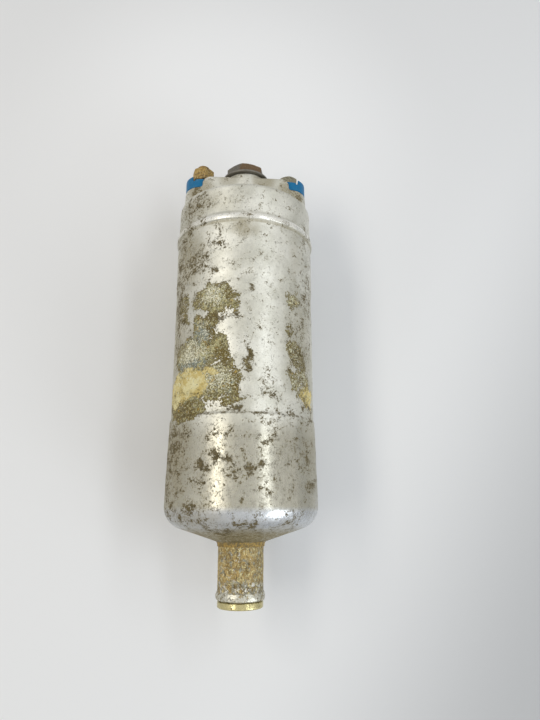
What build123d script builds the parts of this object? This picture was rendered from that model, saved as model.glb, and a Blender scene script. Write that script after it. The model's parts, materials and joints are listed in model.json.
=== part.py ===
from build123d import *
import math
import os

# Inline electric fuel pump of the roller-cell type, in a drawn aluminium can.
# Lengths are millimetres. Fuel flows along +Y, from the hose spigot to the threaded outlet.
# The origin is on the pump's axis, in the middle of the plain length that a clamp band grips.
# Every piece is drawn about an axis along +Z and is laid along +Y as it is written, so that
# heights below are places along the flow. Drawn +X stays +X, and drawn -Y is up on the pump.

# Can
BODY_D = 52.0
PLAIN_LENGTH = 48.0
CAN_BORE_R = 24.8
FLARE_R = 27.05
BAND_R = 26.2
BAND_BEAD_R = 26.8
BAND_BEAD_LOW, BAND_BEAD_HIGH = 44.7, 48.2
RIM_TOP = 59.8
RIM_FILLET = 1.9
LIP_R, LIP_T = 24.1, 1.2
STEP_LOW, STEP = -24.9, 0.15
FLARE_TOP = -51.0
BOTTOM_CORNER_R, BOTTOM_INNER_CORNER_R = 8.0, 5.0
BOTTOM_WALL = 2.0
CONE_SLOPE = 0.33
CONE_ROOT = -65.7
LEDGE, LEDGE_R = -52.0, 23.2

# Hose spigot and inlet strainer
SPIGOT_R = 7.9
SPIGOT_BORE_R = 5.8
SPIGOT_END = -84.35
SPIGOT_FLANGE_R, SPIGOT_FLANGE_T = 10.5, 1.2
COLLAR_T, COLLAR_LENGTH, COLLAR_ROUND = 0.35, 1.4, 1.3
HOSE_BEAD_R, HOSE_BEAD_LENGTH = 8.45, 3.15
RING_R = 7.85
INLET_TIP = -86.7
STRAINER_SLEEVE_END = -78.0
STRAINER_BORE_R = 4.9
MESH_TOP = -60.0
MESH_T = 0.4

# Pump stack
PLATE_R = 24.7
PUMP_TOP = -28.0
PLATE_T = 6.0
CAM_TOP = -34.0
CAM_LOW = -46.0
CAM_R = 18.2
ECCENTRICITY = 1.1
END_GAP = 0.03
ROTOR_R = 17.0
ROLLERS = 5
ROLLER_R, ROLLER_CHAMFER = 3.0, 0.25
ROLLER_ORBIT = 14.05
FIRST_ROLLER_DEG = 36.0
SLOT_FLOOR_R = 11.0
PORT_IN_R, PORT_OUT_R = 12.0, 16.4
PORT_SWEEP_DEG = 110.0
PUMP_HUB_R = 7.0
PUMP_HUB_TOP = -23.5
PUMP_BUSH_R, PUMP_BUSH_LOW = 5.0, -33.5
SCREW_ORBIT, FIRST_SCREW_DEG = 21.6, 60.0
SCREW_R, SCREW_REACH = 1.5, 4.0
SCREW_HEAD_R = 2.5
SCREW_HEAD_LOW, SCREW_HEAD_TOP = -30.2, -28.2
SCREW_SOCKET_R, SCREW_SOCKET_DEPTH = 1.45, 1.2

# Relief valve, in the suction plate
RELIEF_ORBIT = 14.2
RELIEF_SEAT_R = 2.0
RELIEF_BORE_R = 3.1
RELIEF_BOSS_R = 4.6
RELIEF_END = -56.5
RELIEF_SEAT = -48.0
RELIEF_BALL_R = 2.5
RELIEF_SPRING_R, RELIEF_WIRE_R, RELIEF_TURNS = 1.7, 0.25, 3
RELIEF_PLUG_T, RELIEF_PLUG_HOLE_R = 1.0, 1.2

# Shaft and armature
SHAFT_R = 3.0
SHAFT_LOW, SHAFT_TOP = -45.8, 55.8
SHAFT_CHAMFER = 0.4
SHAFT_FLAT, SHAFT_FLAT_TOP = 2.5, -33.7
RUNNING_GAP = 0.03
COUPLING_R, COUPLING_LOBE_R, COUPLING_LOBE_W = 5.2, 7.2, 3.0
CORE_R = 17.9
CORE_LOW, CORE_TOP = -14.0, 22.0
CORE_SLOTS = 8
SLOT_IN_R, SLOT_OUT_R = 7.5, 15.8
TOOTH_W = 3.6
SLOT_MOUTH = 2.4
SLOT_LINER = 0.1
INSULATOR_R, INSULATOR_T = 17.0, 0.6
NECK_R = 4.6
HEAD_LENGTH, HEAD_ROUND = 5.9, 2.0
HEAD_IN_R = 5.2
COMMUTATOR_R = 13.0
COMMUTATOR_LOW, SEGMENT_LOW, SEGMENT_TOP = 31.0, 35.0, 38.0
SEGMENT_IN_R, SEGMENT_GAP = 5.6, 0.6
HUB_STEP_R, HUB_STEP_TOP = 5.5, 37.8
COMMUTATOR_NECK_R, COMMUTATOR_NECK_TOP = 4.3, 49.0
THRUST_R, THRUST_T = 5.6, 0.8
THRUST_GAP = 0.1

# Field
FLUX_IN_R = 22.9
FLUX_TOP = 42.0
MAGNET_OUT_R, MAGNET_IN_R = 22.85, 18.5
MAGNET_LOW, MAGNET_TOP = -18.0, 28.0
MAGNET_SWEEP_DEG = 130.0
CLIP_T, CLIP_SETBACK = 0.5, 2.0
CLIP_GAP_DEG, CLIP_LEG_DEG = 1.0, 1.4

# Brushes
BRUSH_X = 10.0
BRUSH_SIZE = (4.5, 6.5, 9.0)
BRUSH_GAP = 0.05
GUIDE_WALL = 1.1
GUIDE_LOW, GUIDE_TOP = 39.0, 55.5
HOLDER_R, HOLDER_T, HOLDER_TOP = 24.6, 2.0, 45.0
HOLDER_HOLE_R = 6.6
HOLDER_FLOW_HOLE_R, HOLDER_FLOW_ORBIT = 2.5, 16.5
BRUSH_SPRING_R, BRUSH_WIRE_R, BRUSH_TURNS = 1.85, 0.2, 5
LEAD_SLOT_W, LEAD_SLOT_BACK, LEAD_SLOT_REACH = 1.8, 0.8, 4.0
LEAD_R = 0.45
LEAD_BEND_R = 1.5
LEAD_LEVEL = 55.85

# End cover
COVER_R = 24.75
COVER_CORNER_R = 0.65
NECK_OUT_R = 24.05
COVER_BASE = 59.95
CAVITY_R = 22.0
CAVITY_TOP = 57.0
CHAMBER_R, CHAMBER_TOP = 10.0, 58.2
HUB_R, HUB_LOW, HUB_TOP = 6.4, 50.0, 57.0
BUSH_R, BUSH_LOW, BUSH_TOP = 4.6, 50.5, 56.0
RIB_W, RIB_LOW = 3.0, 53.0
BAR_END_R, BAR_FOOT_R = 6.8, 7.5
BAR_LEDGE = 69.5
BAR_TOP = 73.7
BAR_MIDDLE_HALF_W = 7.9
BAR_MIDDLE_X, BAR_ROUND, BAR_CORNER_R = 17.5, 3.6, 1.5
BOSS_R, BOSS_TOP, BOSS_CHAMFER = 8.3, 75.6, 0.4
O_RING_R = 0.79
O_RING_HEIGHT = 51.3
GROOVE_R, GROOVE_HALF_W = 23.2, 1.3

# Terminals, the positive one (M5) at -X and the negative one (M4) at +X
TERMINAL_X = 17.6
TERMINAL_BORE_R = 4.1
TERMINAL_NECK_R = 4.05
STUD_HEAD_R = 3.4
STUD_HEAD_LOW, STUD_HEAD_TOP = 55.2, 56.4
STUD_END_ROUND = 0.6
LOWER_BUSH_R, LOWER_BUSH_TOP = 4.3, 60.0
SEAL_TOP = 63.0
TERMINAL_SEAT = 73.0
HORN_TOP, HORN_ROUND, HORN_IN_X = 74.8, 0.6, 21.2
NOTCH_IN_X, NOTCH_FLOOR = 20.2, 72.5
POSITIVE_R, POSITIVE_END = 2.5, 82.3
NEGATIVE_R, NEGATIVE_END = 2.0, 79.1
POSITIVE_WASHER_R, POSITIVE_WASHER_T = 3.55, 1.0
NEGATIVE_WASHER_R, NEGATIVE_WASHER_T = 3.55, 0.8
POSITIVE_SPRING_R, POSITIVE_SPRING_T = 3.55, 1.3
NEGATIVE_SPRING_R, NEGATIVE_SPRING_T = 3.4, 0.9
SPRING_WASHER_SPLIT, SPRING_WASHER_SPLIT_DEG = 0.8, 25.0
POSITIVE_NUT_FLATS, POSITIVE_NUT_T, POSITIVE_NUT_DEG = 8.0, 5.0, 15.0
NEGATIVE_NUT_FLATS, NEGATIVE_NUT_T = 7.0, 3.2

# Outlet fitting, with the non-return valve inside
FITTING_R = 6.0
FITTING_LOW = 62.5
FITTING_FLATS, FITTING_DEG = 14.0, -11.0
FITTING_TOP = 80.8
OUTLET_WASHER_R, OUTLET_WASHER_T = 9.5, 0.9
VALVE_SEAT, VALVE_SEAT_R = 66.5, 2.2
VALVE_BORE_R, VALVE_BORE_TOP = 4.0, 75.0
THREAD_R, THREAD_CHAMFER = 4.46, 0.5
VALVE_SPRING_R, VALVE_WIRE_R, VALVE_TURNS = 2.2, 0.25, 4
RETAINER_T = 1.0
RETAINER_HOLES, RETAINER_HOLE_R, RETAINER_HOLE_ORBIT = 6, 0.8, 2.6
POPPET_R, POPPET_T = 3.4, 1.5
POPPET_STEM_R, POPPET_STEM_TOP = 1.2, 71.0

CLEAR = 0.05
HOLE_GAP = 0.1


def corner_points(corners, i):
    """Where a corner's rounding starts, passes its middle and ends."""
    x, y, *radius = corners[i]
    here = Vector(x, y)
    if not radius:
        return here, None, here
    after = corners[(i + 1) % len(corners)]
    to_last = (Vector(*corners[i - 1][:2]) - here).normalized()
    to_next = (Vector(*after[:2]) - here).normalized()
    half = math.radians(to_last.get_angle(to_next)) / 2
    reach = radius[0] / math.tan(half)
    depth = radius[0] / math.sin(half) - radius[0]
    middle = here + (to_last + to_next).normalized() * depth
    return here + to_last * reach, middle, here + to_next * reach


def outline(*corners):
    """A closed face with corners (x, y), or (x, y, radius) where the corner is rounded."""
    points = [corner_points(corners, i) for i in range(len(corners))]
    edges = []
    for i, (start, middle, end) in enumerate(points):
        if middle is not None:
            edges.append(ThreePointArc(start, middle, end))
        following = points[(i + 1) % len(points)][0]
        if (following - end).length > 1e-6:
            edges.append(Line(end, following))
    return make_face(edges)


def turned(*corners):
    """A solid of revolution about the axis, from corners (radius, height[, rounding])."""
    return revolve(Plane.XZ * outline(*corners), Axis.Z)


def rod(radius, low, high, x=0.0, y=0.0):
    return Pos(x, y, (low + high) / 2) * Cylinder(radius, high - low)


def ring(outer, inner, low, high, x=0.0, y=0.0):
    return rod(outer, low, high, x, y) - rod(inner, low, high, x, y)


def block(x, y, z):
    """A box from three pairs of limits."""
    middle = Pos((x[0] + x[1]) / 2, (y[0] + y[1]) / 2, (z[0] + z[1]) / 2)
    return middle * Box(x[1] - x[0], y[1] - y[0], z[1] - z[0])


def arc_piece(inner, outer, low, high, start_deg, sweep_deg):
    """A piece of a ring that covers part of a turn."""
    section = Plane.XZ * outline((inner, low), (outer, low), (outer, high), (inner, high))
    return Rot(0, 0, start_deg) * revolve(section, Axis.Z, sweep_deg)


def spread(shape, count, start_deg=0.0):
    """The same shape repeated evenly round the axis."""
    return [Rot(0, 0, start_deg + 360 * i / count) * shape for i in range(count)]


def coil(mean_r, wire_r, low, high, turns, x=0.0, y=0.0):
    """An open compression spring that stands between two heights."""
    height = high - low - 2 * wire_r
    path = Helix(pitch=height / turns, height=height, radius=mean_r)
    section = Plane(origin=path @ 0, z_dir=path % 0) * Circle(wire_r)
    return Pos(x, y, low + wire_r) * sweep(section, path=path, is_frenet=True)


def hexagon(flats, low, high, chamfer_low=False):
    """A hexagonal prism, a corner pointing up, with a chamfer on its outer end or on both ends."""
    corner = flats / math.sqrt(3)
    face_r = flats / 2 - CLEAR
    length = high - low
    drop = (corner - face_r) * math.tan(math.radians(30))
    low_r, rise = (face_r, drop) if chamfer_low else (corner, 0)
    prism = extrude(RegularPolygon(corner, 6, rotation=30), length)
    envelope = turned(
        (0, 0),
        (low_r, 0),
        (corner, rise + CLEAR),
        (corner, length - drop),
        (face_r, length),
        (0, length),
    )
    return Pos(0, 0, low) * (prism & envelope)


def cone_height(radius, rise=0.0):
    """The height of the can's conical bottom at a radius, or of a surface that far above it."""
    return CONE_ROOT + (radius - SPIGOT_R) * CONE_SLOPE + rise


def housing():
    """The can in one turned piece: collar, cone, flared foot, plain length, bead and crimped rim."""
    plain_r = BODY_D / 2
    half = PLAIN_LENGTH / 2
    collar_r = SPIGOT_R + COLLAR_T
    collar_low = CONE_ROOT - COLLAR_LENGTH
    bead_inner_r = BAND_BEAD_R - BODY_D / 2 + CAN_BORE_R
    lip_low = RIM_TOP - LIP_T
    return turned(
        (SPIGOT_R, collar_low),
        (collar_r, collar_low, COLLAR_T / 2),
        (collar_r, cone_height(collar_r), COLLAR_ROUND),
        (FLARE_R, cone_height(FLARE_R), BOTTOM_CORNER_R),
        (FLARE_R, FLARE_TOP),
        (plain_r + STEP, STEP_LOW, 0.6),
        (plain_r, -half),
        (plain_r, half),
        (BAND_R, half + 0.8),
        (BAND_R, BAND_BEAD_LOW, 0.1),
        (BAND_BEAD_R, BAND_BEAD_LOW + 0.35, 0.4),
        (BAND_BEAD_R, BAND_BEAD_HIGH - 1.9, 0.9),
        (plain_r, BAND_BEAD_HIGH, 1.2),
        (plain_r, RIM_TOP, RIM_FILLET),
        (LIP_R, RIM_TOP),
        (LIP_R, lip_low),
        (CAN_BORE_R, lip_low, CAN_BORE_R - LIP_R),
        (CAN_BORE_R, BAND_BEAD_HIGH - 0.3),
        (bead_inner_r, BAND_BEAD_HIGH - 1.5, 0.5),
        (bead_inner_r, BAND_BEAD_LOW + 0.9, 0.3),
        (CAN_BORE_R, BAND_BEAD_LOW + 0.4),
        (CAN_BORE_R, LEDGE),
        (LEDGE_R, LEDGE),
        (LEDGE_R, cone_height(LEDGE_R, BOTTOM_WALL), BOTTOM_INNER_CORNER_R),
        (SPIGOT_R, cone_height(SPIGOT_R, BOTTOM_WALL)),
    )


def spigot_tube():
    """The hose spigot: a beaded tube through the can's collar, flanged on the inside."""
    bead_end = SPIGOT_END + HOSE_BEAD_LENGTH
    flange_low = cone_height(SPIGOT_FLANGE_R, BOTTOM_WALL)
    flange_top = flange_low + SPIGOT_FLANGE_T
    return turned(
        (SPIGOT_BORE_R, SPIGOT_END),
        (SPIGOT_R - 0.3, SPIGOT_END, 0.15),
        (HOSE_BEAD_R - 0.15, SPIGOT_END + 0.35, 0.4),
        (HOSE_BEAD_R, SPIGOT_END + HOSE_BEAD_LENGTH / 2, 1.2),
        (HOSE_BEAD_R - 0.25, bead_end - 0.45, 0.5),
        (SPIGOT_R, bead_end, 0.3),
        (SPIGOT_R, cone_height(SPIGOT_R, BOTTOM_WALL)),
        (SPIGOT_FLANGE_R, flange_low),
        (SPIGOT_FLANGE_R, flange_top),
        (SPIGOT_BORE_R, flange_top, 0.6),
    )


def inlet_strainer_ring():
    return turned(
        (STRAINER_BORE_R, INLET_TIP, 0.3),
        (RING_R, INLET_TIP, 0.6),
        (RING_R, SPIGOT_END - 0.35),
        (RING_R - 0.35, SPIGOT_END - CLEAR),
        (SPIGOT_BORE_R - CLEAR, SPIGOT_END - CLEAR),
        (SPIGOT_BORE_R - CLEAR, STRAINER_SLEEVE_END),
        (STRAINER_BORE_R, STRAINER_SLEEVE_END),
    )


def inlet_strainer_mesh():
    outer = STRAINER_BORE_R - 0.02
    return turned(
        (outer - MESH_T, STRAINER_SLEEVE_END - 1.5),
        (outer, STRAINER_SLEEVE_END - 1.5),
        (outer, MESH_TOP, 1.5),
        (0, MESH_TOP),
        (0, MESH_TOP - MESH_T),
        (outer - MESH_T, MESH_TOP - MESH_T, 1.1),
    )


def port(low, high, middle_deg):
    """The kidney-shaped opening of a pump plate."""
    return arc_piece(PORT_IN_R, PORT_OUT_R, low, high, middle_deg - PORT_SWEEP_DEG / 2, PORT_SWEEP_DEG)


def screw_holes(radius, low, high):
    return spread(rod(radius, low, high, SCREW_ORBIT), 3, FIRST_SCREW_DEG)


def suction_plate():
    low = CAM_LOW - PLATE_T
    plate = rod(PLATE_R, low, CAM_LOW) + rod(RELIEF_BOSS_R, RELIEF_END, low, 0, RELIEF_ORBIT)
    plate -= port(low, CAM_LOW, -90)
    plate -= rod(RELIEF_SEAT_R, RELIEF_SEAT, CAM_LOW, 0, RELIEF_ORBIT)
    plate -= rod(RELIEF_BORE_R, RELIEF_END, RELIEF_SEAT, 0, RELIEF_ORBIT)
    return plate - screw_holes(SCREW_R, low, CAM_LOW)


def cam_ring():
    bore = rod(CAM_R, CAM_LOW, CAM_TOP, ECCENTRICITY)
    return rod(PLATE_R, CAM_LOW, CAM_TOP) - bore - screw_holes(SCREW_R + HOLE_GAP, CAM_LOW, CAM_TOP)


def pressure_plate():
    plate = rod(PLATE_R, CAM_TOP, PUMP_TOP) + rod(PUMP_HUB_R, PUMP_TOP, PUMP_HUB_TOP)
    plate -= rod(SHAFT_R + 3 * HOLE_GAP, CAM_TOP, PUMP_HUB_TOP)
    plate -= rod(PUMP_BUSH_R, PUMP_BUSH_LOW, PUMP_HUB_TOP)
    plate -= port(CAM_TOP, PUMP_TOP, 90)
    plate -= screw_holes(SCREW_R + HOLE_GAP, CAM_TOP, PUMP_TOP)
    return plate - screw_holes(SCREW_HEAD_R + HOLE_GAP, SCREW_HEAD_LOW, PUMP_TOP)


def plate_screws():
    screw = rod(SCREW_R, CAM_LOW - SCREW_REACH, SCREW_HEAD_LOW)
    screw += rod(SCREW_HEAD_R, SCREW_HEAD_LOW, SCREW_HEAD_TOP)
    socket = extrude(RegularPolygon(SCREW_SOCKET_R, 6), SCREW_SOCKET_DEPTH)
    screw -= Pos(0, 0, SCREW_HEAD_TOP - SCREW_SOCKET_DEPTH) * socket
    return spread(Pos(SCREW_ORBIT, 0, 0) * screw, 3, FIRST_SCREW_DEG)


def coupling_section(grow=0.0):
    """The drive coupling's outline: a hub with three lobes."""
    reach = COUPLING_LOBE_R + grow
    lobe = Pos(reach / 2, 0) * Rectangle(reach, COUPLING_LOBE_W + 2 * grow)
    return Circle(COUPLING_R + grow) + spread(lobe, 3)


def drive_coupling():
    low, high = CAM_LOW + HOLE_GAP, CAM_TOP - HOLE_GAP
    bore = Circle(SHAFT_R) & Rectangle(2 * SHAFT_R, 2 * SHAFT_FLAT)
    return Pos(0, 0, low) * extrude(coupling_section() - bore, high - low)


def pump_rotor():
    low, high = CAM_LOW + END_GAP, CAM_TOP - END_GAP
    depth = ROTOR_R + 1 - SLOT_FLOOR_R
    slot = Pos(SLOT_FLOOR_R + depth / 2, 0) * Rectangle(depth, 2 * (ROLLER_R + RUNNING_GAP))
    section = Circle(ROTOR_R) - coupling_section(RUNNING_GAP) - spread(slot, ROLLERS, FIRST_ROLLER_DEG)
    return Pos(0, 0, low) * extrude(section, high - low)


def roller(i):
    """One roller, as far in as its slot lets it go."""
    body = rod(ROLLER_R, CAM_LOW + END_GAP, CAM_TOP - END_GAP)
    body = chamfer(body.edges(), ROLLER_CHAMFER)
    return Rot(0, 0, FIRST_ROLLER_DEG + 360 * i / ROLLERS) * Pos(ROLLER_ORBIT, 0, 0) * body


def relief_ball_height():
    """The height of the ball's centre as it rests against the edge of its seat."""
    return RELIEF_SEAT - math.sqrt(RELIEF_BALL_R**2 - RELIEF_SEAT_R**2) - CLEAR


def relief_ball():
    return Pos(0, RELIEF_ORBIT, relief_ball_height()) * Sphere(RELIEF_BALL_R)


def relief_spring():
    """The spring between plug and ball, its end turn lying on the ball."""
    lying = math.sqrt((RELIEF_BALL_R + RELIEF_WIRE_R) ** 2 - RELIEF_SPRING_R**2)
    top = relief_ball_height() - lying + RELIEF_WIRE_R - CLEAR
    low = RELIEF_END + RELIEF_PLUG_T + CLEAR
    return coil(RELIEF_SPRING_R, RELIEF_WIRE_R, low, top, RELIEF_TURNS, 0, RELIEF_ORBIT)


def relief_retainer():
    high = RELIEF_END + RELIEF_PLUG_T
    return ring(RELIEF_BORE_R, RELIEF_PLUG_HOLE_R, RELIEF_END, high, 0, RELIEF_ORBIT)


def shaft():
    body = turned(
        (0, SHAFT_LOW),
        (SHAFT_R - SHAFT_CHAMFER, SHAFT_LOW),
        (SHAFT_R, SHAFT_LOW + SHAFT_CHAMFER),
        (SHAFT_R, SHAFT_TOP - SHAFT_CHAMFER),
        (SHAFT_R - SHAFT_CHAMFER, SHAFT_TOP),
        (0, SHAFT_TOP),
    )
    for side in (-1, 1):
        y = sorted((side * SHAFT_FLAT, side * (SHAFT_R + 1)))
        body -= block((-SHAFT_R, SHAFT_R), y, (SHAFT_LOW, SHAFT_FLAT_TOP))
    return body


def pump_side_bush():
    return ring(PUMP_BUSH_R, SHAFT_R + RUNNING_GAP, PUMP_BUSH_LOW, PUMP_HUB_TOP)


def cover_side_bush():
    return ring(BUSH_R, SHAFT_R + RUNNING_GAP, BUSH_LOW, BUSH_TOP)


def thrust_washers():
    lows = PUMP_HUB_TOP + THRUST_GAP, COMMUTATOR_NECK_TOP
    return [ring(THRUST_R, SHAFT_R, low, low + THRUST_T) for low in lows]


def slots(inner, outer, tooth):
    """The winding slots' outlines, between teeth of a given width."""
    tooth_shape = Pos(outer / 2, 0) * Rectangle(outer, tooth)
    return Circle(outer) - Circle(inner) - spread(tooth_shape, CORE_SLOTS)


def core_section():
    """One lamination: hub, teeth and pole shoes."""
    reach = CORE_R - SLOT_OUT_R + 1
    mouth = Pos(CORE_R, 0) * Rectangle(2 * reach, SLOT_MOUTH)
    shape = Circle(CORE_R) - Circle(SHAFT_R) - slots(SLOT_IN_R, SLOT_OUT_R, TOOTH_W)
    return shape - spread(mouth, CORE_SLOTS, 180 / CORE_SLOTS)


def armature_core():
    return Pos(0, 0, CORE_LOW) * extrude(core_section(), CORE_TOP - CORE_LOW)


def core_insulators():
    """A star-shaped disc at each end of the core, each with a sleeve round the shaft."""
    star = extrude(core_section() & Circle(INSULATOR_R), INSULATOR_T)
    low_neck = ring(NECK_R, SHAFT_R, PUMP_HUB_TOP + THRUST_GAP + THRUST_T, CORE_LOW - INSULATOR_T)
    top_neck = ring(NECK_R, SHAFT_R, CORE_TOP + INSULATOR_T, COMMUTATOR_LOW)
    return [Pos(0, 0, CORE_LOW - INSULATOR_T) * star + low_neck, Pos(0, 0, CORE_TOP) * star + top_neck]


def winding_head(end, side):
    """The rounded end head of the winding on one face of the core."""
    outer = SLOT_OUT_R - SLOT_LINER
    crown = end + side * HEAD_LENGTH
    return turned(
        (HEAD_IN_R, end),
        (outer, end),
        (outer, crown, HEAD_ROUND),
        (HEAD_IN_R, crown, HEAD_ROUND / 2),
    )


def armature_winding():
    low, high = CORE_LOW - INSULATOR_T, CORE_TOP + INSULATOR_T
    section = slots(SLOT_IN_R + SLOT_LINER, SLOT_OUT_R - SLOT_LINER, TOOTH_W + 2 * SLOT_LINER)
    bars = Pos(0, 0, low) * extrude(section, high - low)
    return bars + [winding_head(low, -1), winding_head(high, 1)]


def commutator_hub():
    return turned(
        (SHAFT_R, COMMUTATOR_LOW),
        (COMMUTATOR_R, COMMUTATOR_LOW),
        (COMMUTATOR_R, SEGMENT_LOW),
        (HUB_STEP_R, SEGMENT_LOW),
        (HUB_STEP_R, HUB_STEP_TOP),
        (COMMUTATOR_NECK_R, HUB_STEP_TOP),
        (COMMUTATOR_NECK_R, COMMUTATOR_NECK_TOP),
        (SHAFT_R, COMMUTATOR_NECK_TOP),
    )


def commutator_segments():
    face = ring(COMMUTATOR_R, SEGMENT_IN_R, SEGMENT_LOW, SEGMENT_TOP)
    cut = block((0, COMMUTATOR_R + 1), (-SEGMENT_GAP / 2, SEGMENT_GAP / 2), (SEGMENT_LOW, SEGMENT_TOP))
    return (face - spread(cut, CORE_SLOTS)).solids()


def flux_tube():
    return ring(PLATE_R, FLUX_IN_R, PUMP_TOP, FLUX_TOP)


def magnet(side):
    start = side * 90 - MAGNET_SWEEP_DEG / 2
    return arc_piece(MAGNET_IN_R, MAGNET_OUT_R, MAGNET_LOW, MAGNET_TOP, start, MAGNET_SWEEP_DEG)


def magnet_clips():
    """Two bent spring strips that push the magnets apart against the tube."""
    low, high = MAGNET_LOW + CLIP_SETBACK, MAGNET_TOP - CLIP_SETBACK
    sweep_deg = 180 - MAGNET_SWEEP_DEG - CLIP_GAP_DEG
    clip = arc_piece(MAGNET_OUT_R - CLIP_T, MAGNET_OUT_R, low, high, -sweep_deg / 2, sweep_deg)
    for start in (-sweep_deg / 2, sweep_deg / 2 - CLIP_LEG_DEG):
        clip += arc_piece(MAGNET_IN_R + 1, MAGNET_OUT_R, low, high, start, CLIP_LEG_DEG)
    return spread(clip, 2)


def brush_holder():
    """A plate between flux tube and cover, with a closed guide for each brush."""
    holder = rod(HOLDER_R, FLUX_TOP, FLUX_TOP + HOLDER_T)
    holder += ring(HOLDER_R, CAVITY_R, FLUX_TOP, HOLDER_TOP)
    width, depth, _ = BRUSH_SIZE
    for side in (-1, 1):
        x = side * BRUSH_X
        inner = width / 2 + BRUSH_GAP, depth / 2 + BRUSH_GAP
        outer = inner[0] + GUIDE_WALL, inner[1] + GUIDE_WALL
        holder += block((x - outer[0], x + outer[0]), (-outer[1], outer[1]), (GUIDE_LOW, GUIDE_TOP))
        holder -= block((x - inner[0], x + inner[0]), (-inner[1], inner[1]), (GUIDE_LOW, GUIDE_TOP - 1))
        slot = sorted((x - side * LEAD_SLOT_BACK, x + side * LEAD_SLOT_REACH))
        holder -= block(slot, (-LEAD_SLOT_W / 2, LEAD_SLOT_W / 2), (GUIDE_TOP - 1, GUIDE_TOP))
    holder -= rod(HOLDER_HOLE_R, FLUX_TOP, GUIDE_TOP)
    flow_hole = rod(HOLDER_FLOW_HOLE_R, FLUX_TOP, FLUX_TOP + HOLDER_T, HOLDER_FLOW_ORBIT)
    return holder - spread(flow_hole, 4, 45)


def brush(side):
    width, depth, length = BRUSH_SIZE
    x = side * BRUSH_X
    low = SEGMENT_TOP + CLEAR
    return block((x - width / 2, x + width / 2), (-depth / 2, depth / 2), (low, low + length))


def brush_spring(side):
    low = SEGMENT_TOP + CLEAR + BRUSH_SIZE[2] + CLEAR
    high = GUIDE_TOP - 1 - CLEAR
    return coil(BRUSH_SPRING_R, BRUSH_WIRE_R, low, high, BRUSH_TURNS, side * BRUSH_X)


def brush_lead(side):
    """The flexible lead, up through the spring and across to the terminal stud."""
    low = SEGMENT_TOP + CLEAR + BRUSH_SIZE[2]
    end_x = TERMINAL_X - STUD_HEAD_R - CLEAR
    bend = LEAD_LEVEL - LEAD_BEND_R
    up = Line((BRUSH_X, 0, low), (BRUSH_X, 0, bend))
    shift = LEAD_BEND_R * (1 - math.sqrt(0.5))
    middle = (BRUSH_X + shift, 0, LEAD_LEVEL - shift)
    turn = ThreePointArc((BRUSH_X, 0, bend), middle, (BRUSH_X + LEAD_BEND_R, 0, LEAD_LEVEL))
    across = Line((BRUSH_X + LEAD_BEND_R, 0, LEAD_LEVEL), (end_x, 0, LEAD_LEVEL))
    lead = sweep(Pos(BRUSH_X, 0, low) * Circle(LEAD_R), path=Wire([up, turn, across]))
    return lead if side > 0 else Rot(0, 0, 180) * lead


def cover_flange():
    """The cover's round part inside the can, up to its flat base."""
    shoulder = RIM_TOP - LIP_T - CLEAR
    flange = turned(
        (0, HOLDER_TOP),
        (COVER_R, HOLDER_TOP),
        (COVER_R, shoulder, COVER_CORNER_R),
        (NECK_OUT_R, shoulder),
        (NECK_OUT_R, COVER_BASE, 0.3),
        (0, COVER_BASE),
    )
    groove_low, groove_high = O_RING_HEIGHT - GROOVE_HALF_W, O_RING_HEIGHT + GROOVE_HALF_W
    return flange - ring(COVER_R + 1, GROOVE_R, groove_low, groove_high)


def cover_bar():
    """The bar across the cover: low round ends for the terminals, and a wider, raised middle."""
    across = (-BAR_MIDDLE_HALF_W, BAR_MIDDLE_HALF_W)
    middle = block((-BAR_MIDDLE_X, BAR_MIDDLE_X), across, (COVER_BASE - 1, BAR_TOP))
    middle = fillet(middle.edges().filter_by(Axis.Y).group_by(Axis.Z)[-1], BAR_ROUND)
    plan = RectangleRounded(2 * BAR_MIDDLE_X, 2 * BAR_MIDDLE_HALF_W, BAR_CORNER_R)
    bar = middle & extrude(plan, BAR_TOP)
    height = BAR_LEDGE - COVER_BASE
    for side in (-1, 1):
        foot = Cone(BAR_FOOT_R, BAR_END_R, height)
        bar += Pos(side * TERMINAL_X, 0, COVER_BASE + height / 2) * foot
        bar -= rod(BAR_END_R + CLEAR, BAR_LEDGE, BAR_TOP, side * TERMINAL_X)
    return bar


def end_cover():
    """The die-cast cover, with the bearing hub, brush cavity, cross bar and outlet boss."""
    cover = cover_flange() - rod(CAVITY_R, HOLDER_TOP, CAVITY_TOP)
    cover += cover_bar()
    boss = rod(BOSS_R, COVER_BASE, BOSS_TOP)
    cover += chamfer(boss.edges().group_by(Axis.Z)[-1], BOSS_CHAMFER)
    cover -= rod(CHAMBER_R, CAVITY_TOP, CHAMBER_TOP)
    cover -= rod(FITTING_R, CAVITY_TOP, BOSS_TOP)
    cover += rod(HUB_R, HUB_LOW, HUB_TOP)
    rib = block((-RIB_W / 2, RIB_W / 2), (HUB_R - 0.5, CAVITY_R + 0.5), (RIB_LOW, CHAMBER_TOP + 0.3))
    cover += spread(rib, 2)
    cover -= rod(BUSH_R, HUB_LOW, BUSH_TOP)
    for side in (-1, 1):
        cover -= rod(TERMINAL_BORE_R, CAVITY_TOP - 1, BAR_TOP, side * TERMINAL_X)
    return cover


def cover_o_ring():
    return Pos(0, 0, O_RING_HEIGHT) * Torus(CAN_BORE_R - O_RING_R - 0.01, O_RING_R)


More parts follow.
